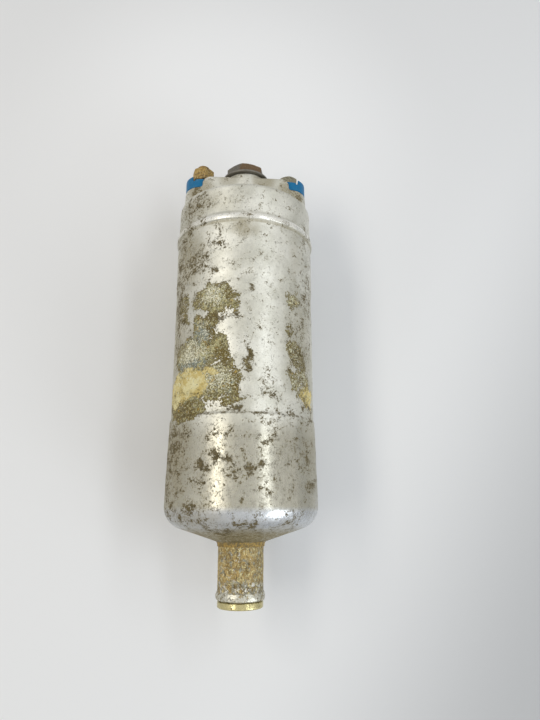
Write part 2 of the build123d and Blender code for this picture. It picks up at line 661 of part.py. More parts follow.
def insulator(side, stud_r):
    """A terminal's round block: a flat seat, a raised outer wall with a notch inside it, and a neck."""
    body = turned((0, BAR_LEDGE), (BAR_END_R, BAR_LEDGE), (BAR_END_R, HORN_TOP, HORN_ROUND), (0, HORN_TOP))
    body = Pos(TERMINAL_X, 0, 0) * body
    across = (-BAR_END_R - 1, BAR_END_R + 1)
    body -= block((0, HORN_IN_X), across, (TERMINAL_SEAT, HORN_TOP))
    body -= block((NOTCH_IN_X, HORN_IN_X), across, (NOTCH_FLOOR, HORN_TOP))
    body += rod(TERMINAL_NECK_R, SEAL_TOP, BAR_LEDGE, TERMINAL_X)
    body -= rod(stud_r + CLEAR, SEAL_TOP, HORN_TOP, TERMINAL_X)
    return body if side > 0 else Rot(0, 0, 180) * body


def stud(side, radius, end):
    x = side * TERMINAL_X
    shank = turned((0, STUD_HEAD_TOP), (radius, STUD_HEAD_TOP), (radius, end, STUD_END_ROUND), (0, end))
    return Pos(x, 0, 0) * shank + rod(STUD_HEAD_R, STUD_HEAD_LOW, STUD_HEAD_TOP, x)


def lower_bush(side, stud_r):
    x = side * TERMINAL_X
    bush = rod(LOWER_BUSH_R, STUD_HEAD_TOP, CAVITY_TOP, x)
    bush += rod(TERMINAL_NECK_R, CAVITY_TOP, LOWER_BUSH_TOP, x)
    return bush - rod(stud_r, STUD_HEAD_TOP, LOWER_BUSH_TOP, x)


def stud_seal(side, stud_r):
    return ring(TERMINAL_NECK_R, stud_r, LOWER_BUSH_TOP, SEAL_TOP, side * TERMINAL_X)


def spring_washer(radius, hole_r, low, thickness):
    """A split ring that bears on the nut."""
    cut = Rot(0, SPRING_WASHER_SPLIT_DEG, 0) * Box(SPRING_WASHER_SPLIT, radius, radius)
    return ring(radius, hole_r, low, low + thickness) - Pos(0, -radius + 0.5, low + thickness / 2) * cut


def positive_washer():
    high = TERMINAL_SEAT + POSITIVE_WASHER_T
    return ring(POSITIVE_WASHER_R, POSITIVE_R, TERMINAL_SEAT, high, -TERMINAL_X)


def positive_spring_washer():
    low = TERMINAL_SEAT + POSITIVE_WASHER_T
    washer = spring_washer(POSITIVE_SPRING_R, POSITIVE_R + HOLE_GAP, low, POSITIVE_SPRING_T)
    return Pos(-TERMINAL_X, 0, 0) * washer


def positive_nut():
    low = TERMINAL_SEAT + POSITIVE_WASHER_T + POSITIVE_SPRING_T
    nut = hexagon(POSITIVE_NUT_FLATS, low, low + POSITIVE_NUT_T, chamfer_low=True)
    nut = Rot(0, 0, POSITIVE_NUT_DEG) * nut - rod(POSITIVE_R, low, low + POSITIVE_NUT_T)
    return Pos(-TERMINAL_X, 0, 0) * nut


def negative_washer():
    high = TERMINAL_SEAT + NEGATIVE_WASHER_T
    return ring(NEGATIVE_WASHER_R, NEGATIVE_R, TERMINAL_SEAT, high, TERMINAL_X)


def negative_spring_washer():
    low = TERMINAL_SEAT + NEGATIVE_WASHER_T
    washer = spring_washer(NEGATIVE_SPRING_R, NEGATIVE_R + HOLE_GAP, low, NEGATIVE_SPRING_T)
    return Pos(TERMINAL_X, 0, 0) * washer


def negative_nut():
    low = TERMINAL_SEAT + NEGATIVE_WASHER_T + NEGATIVE_SPRING_T
    nut = hexagon(NEGATIVE_NUT_FLATS, low, low + NEGATIVE_NUT_T, chamfer_low=True)
    return Pos(TERMINAL_X, 0, 0) * (nut - rod(NEGATIVE_R, low, low + NEGATIVE_NUT_T))


def outlet_washer():
    return ring(OUTLET_WASHER_R, FITTING_R, BOSS_TOP, BOSS_TOP + OUTLET_WASHER_T)


def outlet_fitting():
    """A hexagonal fitting with a valve seat inside and a threaded port in its end."""
    fitting = Rot(0, 0, FITTING_DEG) * hexagon(FITTING_FLATS, BOSS_TOP + OUTLET_WASHER_T, FITTING_TOP)
    fitting += rod(FITTING_R, FITTING_LOW, BOSS_TOP + OUTLET_WASHER_T)
    fitting -= rod(VALVE_SEAT_R, FITTING_LOW, VALVE_SEAT)
    fitting -= rod(VALVE_BORE_R, VALVE_SEAT, VALVE_BORE_TOP)
    fitting -= rod(THREAD_R, VALVE_BORE_TOP, FITTING_TOP)
    mouth = Cone(THREAD_R, THREAD_R + THREAD_CHAMFER, THREAD_CHAMFER)
    return fitting - Pos(0, 0, FITTING_TOP - THREAD_CHAMFER / 2) * mouth


def valve_poppet():
    low = VALVE_SEAT + CLEAR
    return turned(
        (0, low),
        (POPPET_R, low),
        (POPPET_R, low + POPPET_T, 0.3),
        (POPPET_STEM_R, low + POPPET_T),
        (POPPET_STEM_R, POPPET_STEM_TOP, 0.3),
        (0, POPPET_STEM_TOP),
    )


def valve_spring():
    low = VALVE_SEAT + 2 * CLEAR + POPPET_T
    high = VALVE_BORE_TOP - RETAINER_T - CLEAR
    return coil(VALVE_SPRING_R, VALVE_WIRE_R, low, high, VALVE_TURNS)


def valve_retainer():
    low = VALVE_BORE_TOP - RETAINER_T
    plate = rod(VALVE_BORE_R, low, VALVE_BORE_TOP)
    flow_hole = rod(RETAINER_HOLE_R, low, VALVE_BORE_TOP, RETAINER_HOLE_ORBIT)
    return plate - spread(flow_hole, RETAINER_HOLES) - rod(RETAINER_HOLE_R, low, VALVE_BORE_TOP)


def all_parts():
    """Every node's name with its shape, or its list of like solids."""
    parts = {
        "housing": housing(),
        "spigot_tube": spigot_tube(),
        "inlet_strainer_ring": inlet_strainer_ring(),
        "inlet_strainer_mesh": inlet_strainer_mesh(),
        "suction_plate": suction_plate(),
        "cam_ring": cam_ring(),
        "pressure_plate": pressure_plate(),
        "plate_screws": plate_screws(),
        "pump_rotor": pump_rotor(),
        "drive_coupling": drive_coupling(),
        "relief_ball": relief_ball(),
        "relief_spring": relief_spring(),
        "relief_retainer": relief_retainer(),
        "shaft": shaft(),
        "pump_side_bush": pump_side_bush(),
        "cover_side_bush": cover_side_bush(),
        "thrust_washers": thrust_washers(),
        "armature_core": armature_core(),
        "core_insulators": core_insulators(),
        "armature_winding": armature_winding(),
        "commutator_hub": commutator_hub(),
        "commutator_segments": commutator_segments(),
        "flux_tube": flux_tube(),
        "magnet_clips": magnet_clips(),
        "brush_holder": brush_holder(),
        "end_cover": end_cover(),
        "cover_o_ring": cover_o_ring(),
        "positive_washer": positive_washer(),
        "positive_spring_washer": positive_spring_washer(),
        "positive_nut": positive_nut(),
        "negative_washer": negative_washer(),
        "negative_spring_washer": negative_spring_washer(),
        "negative_nut": negative_nut(),
        "outlet_washer": outlet_washer(),
        "outlet_fitting": outlet_fitting(),
        "valve_poppet": valve_poppet(),
        "valve_spring": valve_spring(),
        "valve_retainer": valve_retainer(),
    }
    for i in range(ROLLERS):
        parts[f"roller_{i + 1}"] = roller(i)
    for number, side in ((1, -1), (2, 1)):
        parts[f"magnet_{number}"] = magnet(side)
        parts[f"brush_{number}"] = brush(side)
        parts[f"brush_spring_{number}"] = brush_spring(side)
        parts[f"brush_lead_{number}"] = brush_lead(side)
    terminals = (
        ("positive", -1, POSITIVE_R, POSITIVE_END),
        ("negative", 1, NEGATIVE_R, NEGATIVE_END),
    )
    for name, side, radius, end in terminals:
        parts[f"{name}_insulator"] = insulator(side, radius)
        parts[f"{name}_stud"] = stud(side, radius, end)
        parts[f"{name}_lower_bush"] = lower_bush(side, radius)
        parts[f"{name}_seal"] = stud_seal(side, radius)
    return parts


def solids_of(shape):
    """All the solids of a shape, or of a list of shapes."""
    pieces = shape if isinstance(shape, (list, ShapeList)) else [shape]
    return [solid for piece in pieces for solid in piece.solids()]


def write():
    os.makedirs("parts", exist_ok=True)
    lay_down = Rot(-90, 0, 0)
    for name, shape in all_parts().items():
        solids = [lay_down * solid for solid in solids_of(shape)]
        node = solids[0] if len(solids) == 1 else Compound(label=name, children=solids)
        export_step(node, f"parts/{name}.step")


write()
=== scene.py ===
import json
import math

import bmesh
import bpy
import numpy as np
from bpy.props import FloatProperty, FloatVectorProperty, IntProperty, PointerProperty
from collections import namedtuple
from mathutils import Matrix, Vector, noise


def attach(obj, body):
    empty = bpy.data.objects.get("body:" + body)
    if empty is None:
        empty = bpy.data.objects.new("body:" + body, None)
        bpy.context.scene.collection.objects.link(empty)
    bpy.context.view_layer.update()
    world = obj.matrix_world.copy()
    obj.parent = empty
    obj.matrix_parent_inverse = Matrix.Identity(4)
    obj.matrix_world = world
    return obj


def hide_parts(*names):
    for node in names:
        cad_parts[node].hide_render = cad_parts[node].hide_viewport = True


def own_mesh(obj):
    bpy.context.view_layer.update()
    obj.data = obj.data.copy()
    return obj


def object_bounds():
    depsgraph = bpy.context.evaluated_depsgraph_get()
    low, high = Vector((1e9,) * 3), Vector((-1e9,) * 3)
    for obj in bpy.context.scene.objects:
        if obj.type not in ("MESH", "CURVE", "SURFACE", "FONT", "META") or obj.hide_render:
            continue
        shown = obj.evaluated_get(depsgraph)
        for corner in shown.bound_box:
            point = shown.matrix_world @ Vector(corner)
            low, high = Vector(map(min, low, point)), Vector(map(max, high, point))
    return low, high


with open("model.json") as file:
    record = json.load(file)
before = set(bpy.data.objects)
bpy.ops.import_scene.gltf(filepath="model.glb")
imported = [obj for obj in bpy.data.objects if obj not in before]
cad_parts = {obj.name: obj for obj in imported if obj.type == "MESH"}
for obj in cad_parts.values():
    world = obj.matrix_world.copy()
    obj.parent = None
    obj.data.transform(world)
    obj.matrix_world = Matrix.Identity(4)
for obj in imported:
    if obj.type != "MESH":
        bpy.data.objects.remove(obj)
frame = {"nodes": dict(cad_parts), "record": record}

# An inline electric fuel pump. Y is the flow direction, from the hose spigot to the outlet.
# Profiles and places are in millimetres and become metres as their meshes are made.

bl_info = {
    "name": "Inline fuel pump",
    "version": (1, 0, 0),
    "blender": (4, 5, 0),
    "location": "3D View > Sidebar > Fuel Pump",
    "description": "Builds a weathered inline fuel pump round its CAD frame",
    "category": "Object",
}

CAD_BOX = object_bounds()
BODY = "pump_body"
MM = 0.001
FULL_TURN = 2 * math.pi
TURNED_CREASE, COPIED_CREASE = math.radians(40), math.radians(60)


def number(name, description, default, **settings):
    return FloatProperty(name=name, description=description, default=default, **settings)


def length(name, description, default):
    return number(name, description, default, unit="LENGTH", precision=5)


def factor(name, description, default, top=1.0):
    return number(name, description, default, subtype="FACTOR", min=0.0, max=top)


def angle(name, description, degrees):
    return number(name, description, math.radians(degrees), subtype="ANGLE")


def colour(name, description, default):
    return FloatVectorProperty(
        name=name, description=description, default=default, subtype="COLOR", size=3, min=0.0, max=1.0
    )


class PumpSizes(bpy.types.PropertyGroup):
    """Sizes of the pump's visible pieces."""

    can_diameter: length("Can diameter", "Outside of the plain length of the can", 0.052)
    step_diameter: length("Step diameter", "Outside of the can just below the plain length", 0.0528)
    flare_diameter: length("Flare diameter", "Outside of the can at its foot", 0.05406)
    band_diameter: length("Band diameter", "Outside of the can above the plain length", 0.0524)
    bead_diameter: length("Bead diameter", "Outside of the rolled bead", 0.0536)
    spigot_diameter: length("Spigot diameter", "Outside of the hose spigot", 0.0158)
    hose_bead_diameter: length("Hose bead diameter", "Outside of the bead that holds the hose", 0.0169)
    terminal_spacing: length("Terminal spacing", "Between the axes of the two studs", 0.0352)
    positive_thread: length("Positive thread", "Diameter of the larger stud", 0.005)
    positive_flats: length("Positive nut", "Across the flats of the larger nut", 0.008)
    negative_thread: length("Negative thread", "Diameter of the smaller stud", 0.004)
    negative_flats: length("Negative nut", "Across the flats of the smaller nut", 0.007)
    outlet_flats: length("Outlet hexagon", "Across the flats of the outlet fitting", 0.014)
    outlet_thread: length("Outlet thread", "Minor diameter of the thread in the outlet", 0.00892)
    pit_depth: length("Pit depth", "Depth of the corrosion pits in the can", 0.00009)
    segments: IntProperty(name="Segments", description="Faces round the can", default=300, min=48, max=320)


class PumpLooks(bpy.types.PropertyGroup):
    """Colours and finishes of the visible pieces."""

    bare: colour("Bare aluminium", "Can where nothing stains it", (0.74, 0.73, 0.66))
    haze: colour("Oxide haze", "Dull pale oxide on the can", (0.64, 0.63, 0.55))
    # Partly the smoother polish, partly a painted reflection of dark surroundings.
    polished: colour("Polished aluminium", "Smoother lower length of the can", (0.50, 0.48, 0.40))
    film: colour("Dirt film", "Thin tan dirt", (0.31, 0.265, 0.155))
    crust_dark: colour("Crust, dark", "Grey-green of the corrosion crust", (0.19, 0.17, 0.08))
    crust_middle: colour("Crust, middle", "Beige-green of the corrosion crust", (0.52, 0.48, 0.25))
    crust_slate: colour("Crust, slate", "Blue-grey of the corrosion crust", (0.25, 0.28, 0.245))
    crust_pale: colour("Crust, pale", "Pale bloom on the corrosion crust", (0.76, 0.74, 0.57))
    crust_olive: colour("Crust, olive", "Olive brown at the crust's borders", (0.15, 0.11, 0.03))
    ochre: colour("Ochre", "Yellow corrosion", (0.55, 0.36, 0.10))
    ochre_pale: colour("Ochre, pale", "Light yellow corrosion", (0.76, 0.68, 0.36))
    brown: colour("Brown", "Specks on the metal", (0.135, 0.102, 0.040))
    brown_dark: colour("Brown, dark", "Middle of the specks", (0.062, 0.047, 0.018))
    blue: colour("Insulator blue", "Plastic of the terminal blocks", (0.0, 0.15, 0.33))
    brass: colour("Brass", "Golden end ring of the spigot", (0.60, 0.53, 0.27))
    steel_dark: colour("Dark steel", "Outlet hexagon", (0.14, 0.13, 0.105))
    rust: colour("Rust", "Rust on the outlet hexagon", (0.125, 0.078, 0.040))
    olive_steel: colour("Olive steel", "Plating of the smaller terminal", (0.30, 0.275, 0.19))
    can_roughness: factor("Can roughness", "Roughness of the dull upper length", 0.46)
    polish: factor("Polish", "How much smoother the lower length is", 0.20)


class PumpStage(bpy.types.PropertyGroup):
    """Camera, lamps and floor."""

    lens: number("Lens", "Focal length on a 36 mm high frame", 27.05, unit="CAMERA")
    camera_side: length("Camera to the side", "Camera's distance from the pump's axis towards +X", 0.0101)
    camera_along: length("Camera along", "Camera's place along the flow direction", -0.054)
    camera_height: length("Camera height", "Camera's height above the pump's axis", 0.1982)
    camera_tilt: angle("Camera tilt", "From straight down towards the outlet", 15.2)
    roll: angle("Roll", "How far the pump is rolled about its axis", 3.5)
    floor_colour: colour("Floor", "Colour of the floor", (0.82, 0.82, 0.815))
    world_strength: factor("World", "Strength of the light from all round", 0.47, 3.0)
    left_lamp: number("Left lamp", "Warm lamp over the left side", 1.2, unit="POWER")
    right_lamp: number("Right lamp", "Cool lamp over the right side", 0.72, unit="POWER")
    front_lamp: number("Front lamp", "Cool window beyond the spigot", 1.0, unit="POWER")


def sizes():
    return bpy.context.scene.pump_sizes


def looks():
    return bpy.context.scene.pump_looks


def mm(value):
    """A size in metres as millimetres."""
    return value / MM


def radius(diameter):
    """The radius in millimetres of a diameter in metres."""
    return mm(diameter) / 2


# Profiles

def arc_points(before, here, after, radius):
    """Points of the arc that rounds one corner of a profile."""
    to_last = (before - here).normalized()
    to_next = (after - here).normalized()
    half = to_last.angle(to_next) / 2
    centre = here + (to_last + to_next).normalized() * radius / math.sin(half)
    start = here + to_last * radius / math.tan(half) - centre
    end = here + to_next * radius / math.tan(half) - centre
    sweep = start.angle_signed(end)
    steps = max(2, math.ceil(abs(sweep) / math.radians(9)))
    return [centre + Matrix.Rotation(-sweep * i / steps, 2) @ start for i in range(steps + 1)]


def rounded(corners, step, coarse_below=0.0):
    """A closed profile's points from corners (radius, height[, rounding]).

    Points are no further apart than step, or than twenty steps where the radius is under coarse_below.
    """
    places = [Vector(corner[:2]) for corner in corners]
    kept = []
    for i, corner in enumerate(corners):
        after = places[(i + 1) % len(places)]
        if len(corner) == 3:
            kept.extend(arc_points(places[i - 1], places[i], after, corner[2]))
        else:
            kept.append(places[i])
    points = []
    for i, here in enumerate(kept):
        after = kept[(i + 1) % len(kept)]
        largest = step * 20 if max(here.x, after.x) < coarse_below else step
        count = max(1, math.ceil((after - here).length / largest - 1e-6))
        points.extend(here.lerp(after, j / count) for j in range(count))
    return points + [kept[0]]


def hexagon_corner(flats):
    """A hexagon's corner radius, and the height of its 30 degree chamfer."""
    corner = flats / math.sqrt(3)
    return corner, (corner - flats / 2) * math.tan(math.radians(30))


# Node trees

class Value:
    """One output of a node. Arithmetic on it adds math nodes."""

    def __init__(self, nodes, socket):
        self.nodes = nodes
        self.socket = socket

    def __add__(self, other):
        return self.nodes.math("ADD", self, other)

    def __sub__(self, other):
        return self.nodes.math("SUBTRACT", self, other)

    def __rsub__(self, other):
        return self.nodes.math("SUBTRACT", other, self)

    def __mul__(self, other):
        return self.nodes.math("MULTIPLY", self, other)

    def __truediv__(self, other):
        return self.nodes.math("DIVIDE", self, other)

    def __rtruediv__(self, other):
        return self.nodes.math("DIVIDE", other, self)


Layer = namedtuple("Layer", "tint shift scale bias low high strength", defaults=(1.0,))


class Nodes:
    """Adds nodes to a tree. What is given to an input may be a number, a colour or a Value."""

    def __init__(self, tree):
        self.tree = tree

    def add(self, kind, inputs=(), **settings):
        """A new node."""
        node = self.tree.nodes.new(kind)
        for name, value in settings.items():
            setattr(node, name, value)
        for key, value in dict(inputs).items():
            self.put(node.inputs[key], value)
        return node

    def get(self, kind, inputs=(), output=0, **settings):
        """One output of a new node."""
        return Value(self, self.add(kind, inputs, **settings).outputs[output])

    def named(self, node):
        """All outputs of a node by name."""
        return {socket.name: Value(self, socket) for socket in node.outputs}

    def put(self, socket, value):
        if isinstance(value, Value):
            self.tree.links.new(value.socket, socket)
        elif socket.type == "RGBA" and len(value) == 3:
            socket.default_value = (*value, 1.0)
        else:
            socket.default_value = value

    def math(self, operation, *values):
        return self.get("ShaderNodeMath", enumerate(values), operation=operation)

    def most(self, first, *others):
        """The largest of several values."""
        for other in others:
            first = self.math("MAXIMUM", first, other)
        return first

    def vector(self, operation, *values, output=0):
        return self.get("ShaderNodeVectorMath", enumerate(values), output, operation=operation)

    def scaled(self, vector, amount):
        """A vector or a colour times a number."""
        return self.get("ShaderNodeVectorMath", {0: vector, "Scale": amount}, operation="SCALE")

    def axis(self, vector, name):
        return self.get("ShaderNodeSeparateXYZ", {0: vector}, name)

    def combined(self, **parts):
        return self.get("ShaderNodeCombineXYZ", parts)

    def noise(self, vector, scale, detail=4.0, roughness=0.6, distortion=0.0):
        inputs = {"Vector": vector, "Scale": scale, "Detail": detail, "Roughness": roughness}
        return self.get("ShaderNodeTexNoise", {**inputs, "Distortion": distortion})

    def ramp(self, value, low, high, to_low=0.0, to_high=1.0):
        """A smooth step from to_low to to_high as value goes from low to high."""
        inputs = {"Value": value, "From Min": low, "From Max": high, "To Min": to_low, "To Max": to_high}
        return self.get("ShaderNodeMapRange", inputs, interpolation_type="SMOOTHSTEP")

    def spread(self, noise_value, low, high):
        """A noise's usual span, made to run from low to high."""
        return self.ramp(noise_value, 0.3, 0.7, low, high)

    def within(self, value, span, edge):
        """1 where a value lies in a span, with soft edges."""
        low, high = span
        return self.ramp(value, low - edge, low) * self.ramp(value, high + edge, high)

    def mix(self, amount, first, second):
        """A colour from first to second."""
        return self.get("ShaderNodeMix", {0: amount, 6: first, 7: second}, 2, data_type="RGBA")

    def blend(self, amount, first, second):
        """A number from first to second."""
        return self.get("ShaderNodeMix", {0: amount, 2: first, 3: second}, data_type="FLOAT")

    def layered(self, shade, place, layers, distortion):
        """A colour under grains of other colours. Each layer's bias adds to its grains before the ramp."""
        for layer in layers:
            moved = self.vector("ADD", place, (layer.shift, layer.shift, layer.shift))
            grains = self.noise(moved, layer.scale, 6.0, 0.72, distortion) + layer.bias
            shade = self.mix(self.ramp(grains, layer.low, layer.high, 0.0, layer.strength), shade, layer.tint)
        return shade

    def shared(self, group, **inputs):
        """The outputs, by name, of a node that places a shared group."""
        return self.named(self.add("ShaderNodeGroup", inputs, node_tree=group))

    def painted(self, channel):
        """A mask that is stored on the mesh."""
        return self.get("ShaderNodeAttribute", (), "Fac", attribute_name=channel, attribute_type="GEOMETRY")


SHAPER, SHADER = "GeometryNodeTree", "ShaderNodeTree"
FLOAT, INTEGER, VECTOR, COLOUR = "NodeSocketFloat", "NodeSocketInt", "NodeSocketVector", "NodeSocketColor"
GEOMETRY, MATERIAL = "NodeSocketGeometry", "NodeSocketMaterial"


def title(name):
    return name.replace("_", " ").title()


def node_group(kind, **outputs):
    """Turns a function that makes a group's outputs from its inputs into one that gives the group."""

    def wrap(build):
        inputs = build.__annotations__

        def group():
            name = title(build.__name__)
            known = bpy.data.node_groups.get(name)
            if known:
                return known
            tree = bpy.data.node_groups.new(name, kind)
            for in_out, sockets in (("INPUT", inputs), ("OUTPUT", outputs)):
                for key, socket_type in sockets.items():
                    tree.interface.new_socket(title(key), in_out=in_out, socket_type=socket_type)
            n = Nodes(tree)
            given = n.named(n.add("NodeGroupInput"))
            n.add("NodeGroupOutput", build(n, **{key: given[title(key)] for key in inputs}))
            return tree

        return group

    return wrap


def finished(n, shape, material):
    """Geometry made smooth and real, in its material."""
    shape = n.get("GeometryNodeSetShadeSmooth", {"Geometry": shape})
    shape = n.get("GeometryNodeRealizeInstances", {"Geometry": shape})
    return {"Geometry": n.get("GeometryNodeSetMaterial", {"Geometry": shape, "Material": material})}


@node_group(SHAPER, Geometry=GEOMETRY)
def turned_piece(
    n, profile: GEOMETRY, segments: INTEGER, across_flats: FLOAT, corner_turn: FLOAT, corner_softness: FLOAT,
    thread_radius: FLOAT, thread_pitch: FLOAT, thread_depth: FLOAT, thread_low: FLOAT, thread_high: FLOAT,
    wear_depth: FLOAT, wear_size: FLOAT, wear_seed: FLOAT, material: MATERIAL,
):
    """Geometry Nodes that turn a profile about Y, with flats, a thread and wear where they are asked for."""
    columns = segments + 1.0
    rows = n.get("GeometryNodeAttributeDomainSize", {"Geometry": profile}, "Point Count", component="MESH")
    grid = n.get("GeometryNodeMeshGrid", {"Vertices X": rows, "Vertices Y": columns}, "Mesh")
    index = n.get("GeometryNodeInputIndex")
    row = n.math("FLOOR", (index + 0.5) / columns)
    turn = (index - row * columns) / segments * FULL_TURN
    position = n.get("GeometryNodeInputPosition")
    inputs = {"Geometry": profile, "Value": position, "Index": row}
    sample = n.get("GeometryNodeSampleIndex", inputs, data_type="FLOAT_VECTOR", domain="POINT")
    radius, height = n.axis(sample, "X"), n.axis(sample, "Y")

    # A hexagon's radius at this turn, one metre larger where no flats are asked for.
    half_side = math.radians(30)
    wedge = n.math("WRAP", turn - corner_turn - half_side, half_side, -half_side)
    hexagon = across_flats * 0.5 / n.math("COSINE", wedge) + n.math("LESS_THAN", across_flats, MM)
    clipped = n.math("SMOOTH_MIN", radius, hexagon, corner_softness)

    # The thread is cut only where the profile lies at the thread's radius, and runs out at both ends.
    flank = n.math("PINGPONG", height / thread_pitch + turn / FULL_TURN, 0.5) * 2.0
    inside = n.math("MINIMUM", height - thread_low, thread_high - height)
    off_thread = n.math("ABSOLUTE", radius - thread_radius)
    cut = flank * n.ramp(inside / thread_pitch, 0.0, 1.0) * n.math("LESS_THAN", off_thread, 0.01 * MM)
    radius = clipped - cut * thread_depth

    laid = n.combined(X=radius * n.math("SINE", turn), Y=height, Z=radius * n.math("COSINE", turn))
    shape = n.get("GeometryNodeSetPosition", {"Geometry": grid, "Position": laid})
    shape = n.get("GeometryNodeMergeByDistance", {"Geometry": shape, "Distance": 0.001 * MM})
    shape = n.get("GeometryNodeFlipFaces", {"Mesh": shape})

    # Wear only takes material away, so a piece never grows past its size.
    inputs = {"Vector": position, "W": wear_seed, "Scale": 1.0 / wear_size, "Detail": 4.0, "Roughness": 0.6}
    pattern = n.get("ShaderNodeTexNoise", inputs, noise_dimensions="4D")
    bite = n.ramp(pattern, 0.35, 0.75) * wear_depth
    inward = n.scaled(n.get("GeometryNodeInputNormal", (), "Normal"), bite * -1.0)
    shape = n.get("GeometryNodeSetPosition", {"Geometry": shape, "Offset": inward})
    return finished(n, shape, material)


@node_group(SHAPER, Geometry=GEOMETRY)
def strainer_weave(
    n, start: GEOMETRY, radius: FLOAT, low: FLOAT, high: FLOAT, wire_radius: FLOAT,
    rings: INTEGER, wires: INTEGER, material: MATERIAL,
):
    """Geometry Nodes that wrap a cup of woven wire: rings, lengthwise wires and a closing disc of rings."""
    lid_rings, lid_step, spoke_count = 7, 0.14, 24

    def circle(resolution, size):
        return n.get("GeometryNodeCurvePrimitiveCircle", {"Resolution": resolution, "Radius": size})

    def straight(first, last):
        return n.get("GeometryNodeCurvePrimitiveLine", {"Start": first, "End": last})

    def wired(curve):
        return n.get("GeometryNodeCurveToMesh", {"Curve": curve, "Profile Curve": wire})

    def points(count, first=(0.0, 0.0, 0.0), step=(0.0, 0.0, 0.0)):
        return n.get("GeometryNodeMeshLine", {"Count": count, "Start Location": first, "Offset": step})

    def rotation(vector):
        return n.get("FunctionNodeEulerToRotation", {0: vector})

    def instanced(places, instance, **inputs):
        return n.get("GeometryNodeInstanceOnPoints", {"Points": places, "Instance": instance, **inputs})

    wire = circle(5, wire_radius)
    hoop = wired(circle(48, radius))
    index = n.get("GeometryNodeInputIndex")
    bottom, top = n.combined(Y=low), n.combined(Y=high)
    up = n.combined(Y=(high - low) / (rings - 1.0))
    lie = rotation((math.pi / 2, 0.0, 0.0))
    hoops = instanced(points(rings, bottom, up), hoop, Rotation=lie)

    turn = index / wires * FULL_TURN
    stand = n.combined(X=n.math("SINE", turn) * radius, Z=n.math("COSINE", turn) * radius)
    feet = n.get("GeometryNodeSetPosition", {"Geometry": points(wires), "Position": stand})
    rods = instanced(feet, wired(straight(bottom, top)))

    # The lid is hoops that shrink towards the middle, and spokes.
    shrink = 1.0 - index * lid_step
    lid = instanced(points(lid_rings, top), hoop, Rotation=lie, Scale=n.combined(X=shrink, Y=shrink, Z=1.0))
    spin = rotation(n.combined(Y=index * (FULL_TURN / spoke_count)))
    spoke = wired(straight(top, n.combined(Y=high, Z=radius)))
    spokes = instanced(points(spoke_count), spoke, Rotation=spin)

    joined = n.add("GeometryNodeJoinGeometry")
    for part in (hoops, rods, lid, spokes):
        n.put(joined.inputs[0], part)
    return finished(n, Value(n, joined.outputs[0]), material)


# Making pieces

def placed(name, mesh):
    mesh.name = name
    piece = bpy.data.objects.new(name, mesh)
    bpy.context.scene.collection.objects.link(piece)
    return piece


def kept_mesh(source):
    """The mesh that an object's modifiers make. The object goes."""
    graph = bpy.context.evaluated_depsgraph_get()
    mesh = bpy.data.meshes.new_from_object(source.evaluated_get(graph))
    bpy.data.objects.remove(source)
    return mesh


def through_nodes(points, tree, name, **inputs):
    """Runs points in millimetres through a Geometry Nodes tree and keeps the result as a plain mesh."""
    mesh = bpy.data.meshes.new(name)
    mesh.from_pydata([(x * MM, y * MM, 0.0) for x, y in points], [], [])
    source = placed(name + "_source", mesh)
    modifier = source.modifiers.new("Nodes", "NODES")
    modifier.node_group = tree
    sockets = {item.name: item.identifier for item in tree.interface.items_tree if item.in_out == "INPUT"}
    for key, value in inputs.items():
        modifier[sockets[title(key)]] = value
    return placed(name, kept_mesh(source))


def turned(name, corners, material, step, segments=96, coarse_below=0.0, x=0.0, **inputs):
    """A piece turned about Y, moved sideways by x. Its inputs are in millimetres, but for turn and seed."""
    given = {"wear_size": MM, "thread_pitch": MM, "segments": segments, "material": material}
    for key, value in inputs.items():
        given[key] = value if key in ("corner_turn", "wear_seed") else value * MM
    piece = through_nodes(rounded(corners, step, coarse_below), turned_piece(), name, **given)
    piece.data.transform(Matrix.Translation((x * MM, 0, 0)))
    piece.data.set_sharp_from_angle(angle=TURNED_CREASE)
    return piece


def smoothed(mesh, material):
    """Gives a mesh its material and smooth shading with sharp edges."""
    mesh.materials.clear()
    mesh.materials.append(material)
    mesh.shade_smooth()
    mesh.set_sharp_from_angle(angle=COPIED_CREASE)


def copied(name, node):
    """A piece with a CAD node's shape, its corners joined and its faces outward."""
    mesh = frame["nodes"][node].data.copy()
    work = bmesh.new()
    work.from_mesh(mesh)
    bmesh.ops.remove_doubles(work, verts=work.verts, dist=0.001 * MM)
    bmesh.ops.recalc_face_normals(work, faces=work.faces)
    work.to_mesh(mesh)
    work.free()
    return placed(name, mesh)


def recast(name, node, voxel, material, smooth_steps):
    """A copy of a CAD node with softened edges, remade in even faces."""
    source = copied(name + "_source", node)
    remesh = source.modifiers.new("Remesh", "REMESH")
    remesh.mode = "VOXEL"
    remesh.voxel_size = voxel * MM
    smooth = source.modifiers.new("Smooth", "SMOOTH")
    smooth.factor = 0.5
    smooth.iterations = smooth_steps
    piece = placed(name, kept_mesh(source))
    smoothed(piece.data, material)
    return piece


def stands_for(piece, node):
    """Hides a CAD node of the pump's body and attaches the piece that takes its place to the body."""
    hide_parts(node)
    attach(piece, BODY)


# Painted masks, which tell the materials where stains lie


